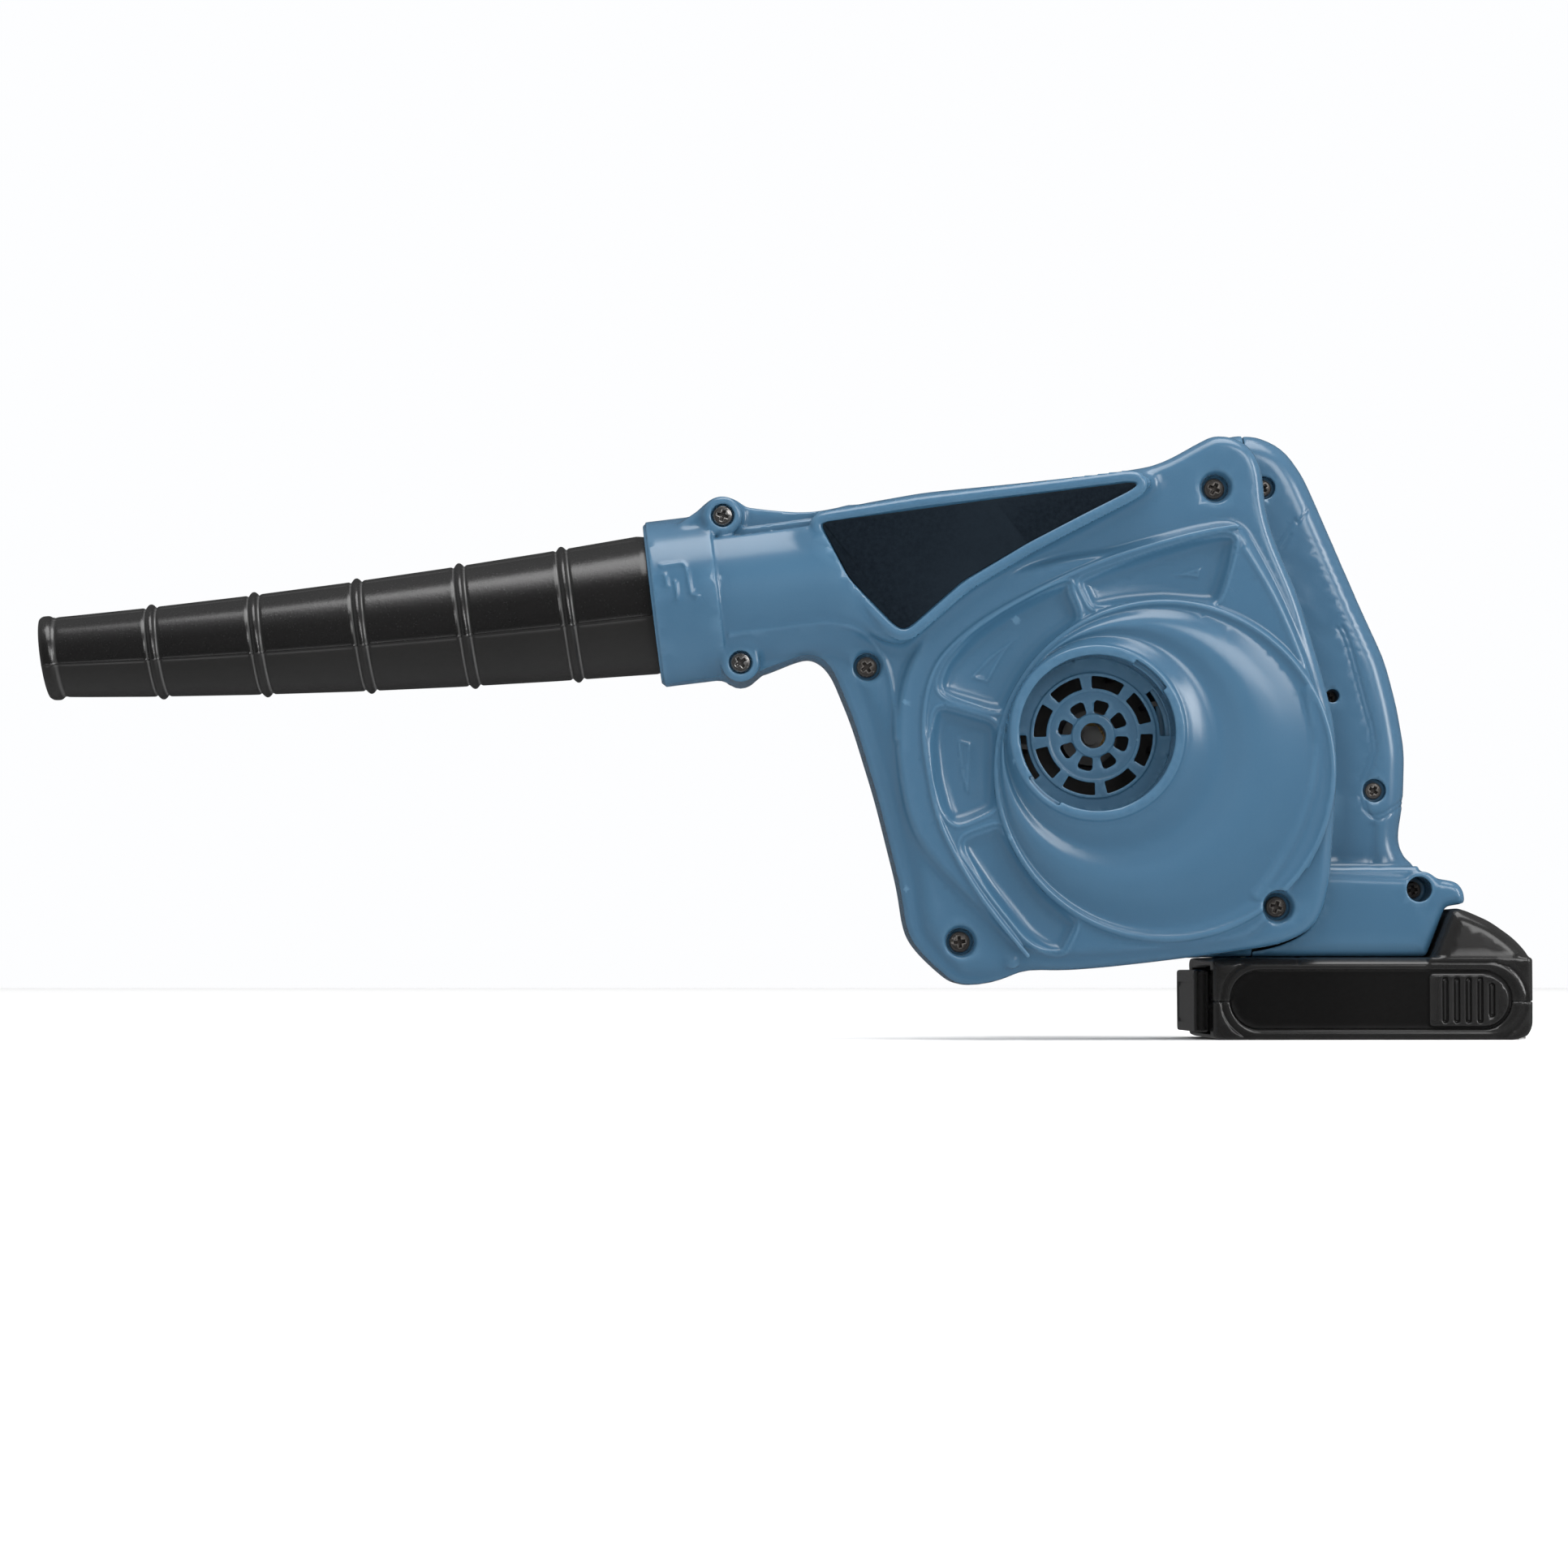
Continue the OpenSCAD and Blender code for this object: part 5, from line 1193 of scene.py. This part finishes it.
ring_outer = [pack_front + 2.9, pack_back - 2.2, 0.2, 25.6]
panel_edge = [pack_front + 5.3, pack_back - 6.7, 3.3, 22.7]
pad_edge = [pack_back - 33.6, pack_back - 8.0, 4.5, 21.3]
latch_half, rail_front, deck_back = 27.0, -33.0, 34.0
case_screw_xs, case_screw_y = (pack_front + 8.8, pack_back - 4.4), 33.9
panel_sink = 0.9


def stadium(b, box, round_start=True):
    """Distance from a stadium in the side view. It may start square instead of round."""
    x0, x1, z0, z1 = box
    r = (z1 - z0) / 2
    mid = (z0 + z1) / 2
    x = np.clip(b.x, x0 + r if round_start else -1e3, x1 - r)
    d = np.hypot(b.x - x, b.z - mid) - r
    return d if round_start else eased(d, x0 - b.x, 1.0)


def space(b, x0, x1, half, z0, z1):
    """Distance from a box that lies evenly about the middle plane."""
    ends = np.maximum(x0 - b.x, b.x - x1)
    return np.maximum(ends, np.maximum(np.abs(b.y) - half, np.maximum(z0 - b.z, b.z - z1)))


def battery_case():
    b = Block(case_low - 1.2, case_high + 1.2, 0.52)
    side = np.abs(b.y) - pack_half
    end = np.maximum(pack_front - b.x, b.x - pack_back)
    plan = eased(side, end, 2.2)
    body = eased(eased(plan, -b.z, 1.6), b.z - pack_top, 1.0)
    shoulder = (np.abs(b.y) - pack_half) * 0.56 + (b.z - 24.6) * 0.83
    body = eased(body, shoulder - 30 * np.clip((b.x - pack_back + 34) / 6, 0, 1), 0.8)
    body = eased(body, (pack_front - b.x) * 0.3 + (1.0 - b.z) * 0.95, 0.6)
    body = eased(body, (b.x - pack_back) * 0.7 + (4.0 - b.z) * 0.7 - 0.6, 2.0)
    # Hump behind the heel of the foot
    hump = b.outline(flowing([[pack_back - 38.4, 20], [pack_back - 8, 20], [pack_back, 22.2],
        [pack_back - 0.6, 27.6], [pack_back - 5.4, 33.0], [pack_back - 12.9, 38.5],
        [pack_back - 20.9, 42.1], [pack_back - 24.3, 43], [pack_back - 26.5, 41.9],
        [pack_back - 33, 26]], cut=3), 30)
    lean = np.abs(b.y) - pack_half + 0.3 + np.clip(b.z - 26, 0, 20) * 0.13
    f = joined(body, eased(hump, lean, 5.0), 1.0)
    # Ring, panel, finger pad and its bars on both sides
    outer, panel = stadium(b, ring_outer), stadium(b, panel_edge)
    f = cut(f, np.maximum(panel, -(side + panel_sink + np.clip(panel + 0.6, 0, 1) * 0.6)), 0.2)
    crown = side + 0.6 * np.clip(np.abs(outer + 1.5) / 1.5, 0, 1) ** 2
    f = np.where((outer < 0.1) & (panel > -0.1) & (b.z < 25.6), np.maximum(f, crown), f)
    f = cut(f, np.maximum(np.maximum(np.abs(outer - 0.4) - 0.3, b.z - 24.4), -(side + 0.6)), 0.25)
    pad = stadium(b, pad_edge, False)
    f = joined(f, eased(pad, np.abs(side + 0.75) - 0.55, 0.25), 0.2)
    for k in range(5):
        x = pack_back - 28.6 + 3.8 * k
        z0, z1 = (5.4, 20.4) if k < 4 else (7.3, 18.6)
        bar = np.hypot(b.x - x, b.z - np.clip(b.z, z0 + 1.0, z1 - 1.0)) - 1.0
        f = cut(f, np.maximum(bar, -(side + 1.6)), 0.15)
        f = joined(f, np.maximum(np.hypot(b.x - x, b.z - np.clip(b.z, z0 + 1.2, z1 - 1.2)) - 0.35,
            np.abs(side + 1.3) - 0.6), 0.2)
    # Notch line across the top shoulder
    f = scored(f, np.abs(b.x + 17.5) + 20 * (b.z < 24.4) + 20 * (side < -12), 0.4, 0.3)
    # Deck and rails
    ends = np.maximum(rail_front - b.x, b.x - deck_back)
    deck = eased(eased(np.abs(b.y) - deck_half, b.z - 35.2, 0.8), ends, 0.8)
    rails = eased(eased(np.abs(b.y) - deck_half - rail_reach, np.abs(b.z - 32.8) - 2.0, 0.5), ends, 0.8)
    f = np.minimum(f, np.maximum(np.minimum(deck, rails), 25 - b.z))
    # Space for the cells, the latch, and the slots for blades and tooth
    room = space(b, pack_front + 6.6, pack_back - pack_wall, pack_half - pack_wall, pack_wall,
        pack_top - pack_wall)
    room = np.minimum(room, space(b, rail_front + 2.4, deck_back - 2.4, deck_half - pack_wall, 22, 32.8))
    for x in case_screw_xs:
        room = np.maximum(room, 3.0 - np.hypot(b.x - x, np.abs(b.y) - case_screw_y))
    f = cut(f, room)
    f = cut(f, space(b, pack_front - 9, pack_front + 4.2, latch_half + 0.4, 1.8, 23.4), 0.3)
    ahead = np.maximum(np.abs(np.abs(b.y) - 8) - 1.3, rail_front - 1 - b.x)
    f = cut(f, np.maximum(ahead, np.maximum(b.x - rail_front - 20, 27.6 - b.z)), 0.3)
    f = cut(f, space(b, pack_front + 5, pack_front + 13.6, 6.4, 22.8, 28.2), 0.2)
    f = cut(f, space(b, pack_front + 2, pack_front + 8, 6.4, 20.5, 23.1), 0.2)
    for x in case_screw_xs:
        d = np.hypot(b.x - x, np.abs(b.y) - case_screw_y)
        f = cut(f, np.minimum(np.maximum(d - 2.6, b.z - 2), np.maximum(d - 1.3, b.z - 22)), 0.2)

    def panel_finish(c):
        x, y, z = c.T
        mid, r = (panel_edge[2] + panel_edge[3]) / 2, (panel_edge[3] - panel_edge[2]) / 2 - 0.3
        inside = np.hypot(x - np.clip(x, panel_edge[0] + r, panel_edge[1] - r), z - mid) < r
        return inside & (np.abs(np.abs(y) - pack_half + panel_sink) < 0.25)

    # The lid's sides run down behind the panels, so the seam shows only at the ends
    tongue = np.maximum(panel + 0.2, -(side + 3.0))
    lid = np.minimum(case_seam - b.z, np.maximum(tongue, 1.0 - b.z))
    split = 0.28
    moulding("battery_lid", b, eased(f, lid, split), "battery", [case_black, case_panel],
        "battery_top_case", panel_finish)
    moulding("battery_tray", b, eased(f, -lid, split), "battery", [case_black, case_panel],
        "battery_bottom_case", panel_finish)


battery_case()

# ---------------------------------------------------------------------------
# Inside the battery
# Five cells in shrink sleeve, held by two ribs and joined by welded nickel strips,
# with a small board and brass contacts under the deck.
cell_sleeve = surfaced("cell_sleeve", (0.03, 0.26, 0.16), (0.02, 0.19, 0.11), edge_wear_highlight=(0.2, 0.5, 0.38),
    roughness=(0.25, 0.38), grain=0.6, peel=3.0, depth=0.01)
board_green = surfaced("board_green", (0.012, 0.10, 0.045), (0.008, 0.07, 0.03), edge_wear_highlight=(0.1, 0.25, 0.15),
    roughness=(0.25, 0.4), grain=0.4, peel=1.2, depth=0.012)
carried_over(cell_sleeve, "battery_cells")
carried_over(slider_black, "cell_holder")
carried_over(plated_steel, "nickel_strips", "battery_case_screws")
pressed_spring("latch_coil_springs", "latch_springs", "battery")
carried_over(board_green, "battery_pcb")
carried_over(turned_brass, "battery_contacts")

# ---------------------------------------------------------------------------
# Battery latch
# A black button across the front of the battery. Pressed in against two springs, it
# carries the tooth that keeps the battery in the foot.


def latch_button():
    low_corner, high_corner = packed_box("latch_button")
    b = Block(low_corner - 1.0, high_corner + 1.0, 0.42)
    x0, z0, half = low_corner[0], low_corner[2], high_corner[1]
    plate = eased(eased(np.abs(b.x - x0 - 2.4) - 2.4, np.abs(b.y) - half, 0.8),
        np.maximum(z0 - b.z, b.z - z0 - 20.4), 0.8)
    # Upright ribs on the ends, and a bare sunk panel with a frame across the face
    for x in (x0 + 1.6, x0 + 3.9):
        plate = scored(plate, np.abs(b.x - x) + 20 * (np.abs(b.y) < half - 1.5), 0.5, 0.45)
    panel = eased(np.abs(b.y) - half + 3.5, np.abs(b.z - z0 - 9.7) - 6.6, 0.8)
    plate = cut(plate, np.maximum(panel, b.x - x0 - 0.6), 0.2)
    plate = joined(plate, np.maximum(eased(panel + 1.2, x0 + 0.25 - b.x, 0.2), b.x - x0 - 1.0), 0.2)
    lip = np.hypot(b.x - x0 - 0.6, b.z - z0 - 18.2) - 0.7
    plate = joined(plate, np.maximum(lip, np.abs(b.y) - half + 2.5), 0.5)
    ends = np.maximum(x0 + 4.4 - b.x, b.x - high_corner[0])
    stem = np.maximum(np.abs(b.y) - 6, np.maximum(ends, np.abs(b.z - 21.8) - 0.9))
    rise = np.abs(b.z - (20.9 + high_corner[2]) / 2) - (high_corner[2] - 20.9) / 2
    hook = eased(np.abs(b.y) - 6, np.maximum(np.abs(b.x - high_corner[0] + 2) - 2, rise), 0.3)
    f = np.minimum(plate, np.minimum(stem, hook))
    for y in (-18, 18):
        f = cut(f, np.maximum(np.hypot(b.z - 12, b.y - y) - 3, x0 + 1.6 - b.x), 0.1)
    moulding("latch_push_button", b, f, "latch", [case_black], "latch_button")


latch_button()

# ---------------------------------------------------------------------------
# Screws
# Thread-forming cross-head screws: blackened in the cover and handle, and two paler
# nickel-plated ones in the collar. The heads are slightly domed, with a tapered cross.
# The heads' grey-brown is painted paler than black oxide: painted light, so they show deep in their shaded
# recesses
blackened_painted_paler = surfaced("blackened_steel_painted_paler", (0.085, 0.074, 0.066), (0.045, 0.040, 0.036),
    edge_wear_highlight=(0.26, 0.24, 0.22), edge_wear_highlight_reach=0.05, roughness=(0.24, 0.40), grain=0.25, peel=0.8,
    peel_share=0.3, depth=0.010, dust=0.02, metallic=0.6)
dark_nickel = surfaced("dark_nickel", (0.26, 0.25, 0.245), (0.16, 0.155, 0.15), edge_wear_highlight=(0.55, 0.54, 0.52),
    edge_wear_highlight_reach=0.05, roughness=(0.20, 0.34), grain=0.25, peel=0.8, peel_share=0.3, depth=0.006, dust=0.02,
    metallic=0.95)


def cross_head(radius, height):
    b = Block([-radius - 0.4, -height - 0.3, -radius - 0.4], [radius + 0.4, 0.5, radius + 0.4], 0.17)
    d = np.hypot(b.x, b.z)
    f = eased(eased(d - radius, -b.y - height + d * d * 0.05, 0.55), b.y, 0.15)
    f = scored(f, np.hypot(d - radius * 0.72, b.y + height - 0.25), 0.14, 0.05)
    u, v = (b.x + b.z) * 0.7071, (b.x - b.z) * 0.7071
    depth = np.clip((b.y + height) / 1.3, 0, 1)
    for across, along in ((u, v), (v, u)):
        slot = np.maximum(np.abs(across) - 0.58 + 0.15 * depth, np.abs(along) - radius * 0.64 + 0.8 * depth)
        f = cut(f, np.maximum(slot, b.y + height - 1.7), 0.12)
    f = cut(f, np.maximum(d - radius * 0.26 + 0.3 * depth, b.y + height - 1.5), 0.15)
    return carved(b, f, 0.0)


def threaded(length, radius):
    y = np.arange(0, length, 0.25)
    r = radius - 0.32 * (0.5 + 0.5 * np.cos(y * 2 * math.pi / 1.25))
    r = np.where(y < 1.0, radius, r) * np.clip((length - y) / 2.2, 0.08, 1)
    turn = np.linspace(0, 2 * math.pi, 20, endpoint=False)
    rings = np.stack([r[:, None] * np.cos(turn), y[:, None] + 0 * turn, r[:, None] * np.sin(turn)], 2)
    return wrapped(rings[:, ::-1])


def screws(name, spots, radius, height, material):
    head = cross_head(radius, height)
    shells = []
    for (x, z), y, length, spin in spots:
        c, s = math.cos(spin), math.sin(spin)
        for points, normals, thirds, quads in (head, threaded(length, 1.5)):
            moved = [np.stack([a[:, 0] * c - a[:, 2] * s, a[:, 1], a[:, 0] * s + a[:, 2] * c], 1)
                for a in (points, normals)]
            shells.append((moved[0] + [x, y, z], moved[1], thirds, quads))
    assembled(name + "_cross", shells, "housing", [material], name)


screws("cover_screws", [(at, part_y - 7.0, 19, 0.3 + 1.1 * i) for i, at in enumerate(cover_screws_at)],
    3.3, 2.2, blackened_painted_paler)
screws("collar_screws", [(at, part_y - 15.6, 26, 0.5 + 0.9 * i) for i, at in enumerate(collar_screws_at)],
    3.3, 2.0, dark_nickel)
screws("handle_screws", [(at, head_y, 22, 0.2 + 0.7 * i)
    for i, (at, head_y, _) in enumerate(handle_screws_at)], 2.7, 2.0, blackened_painted_paler)
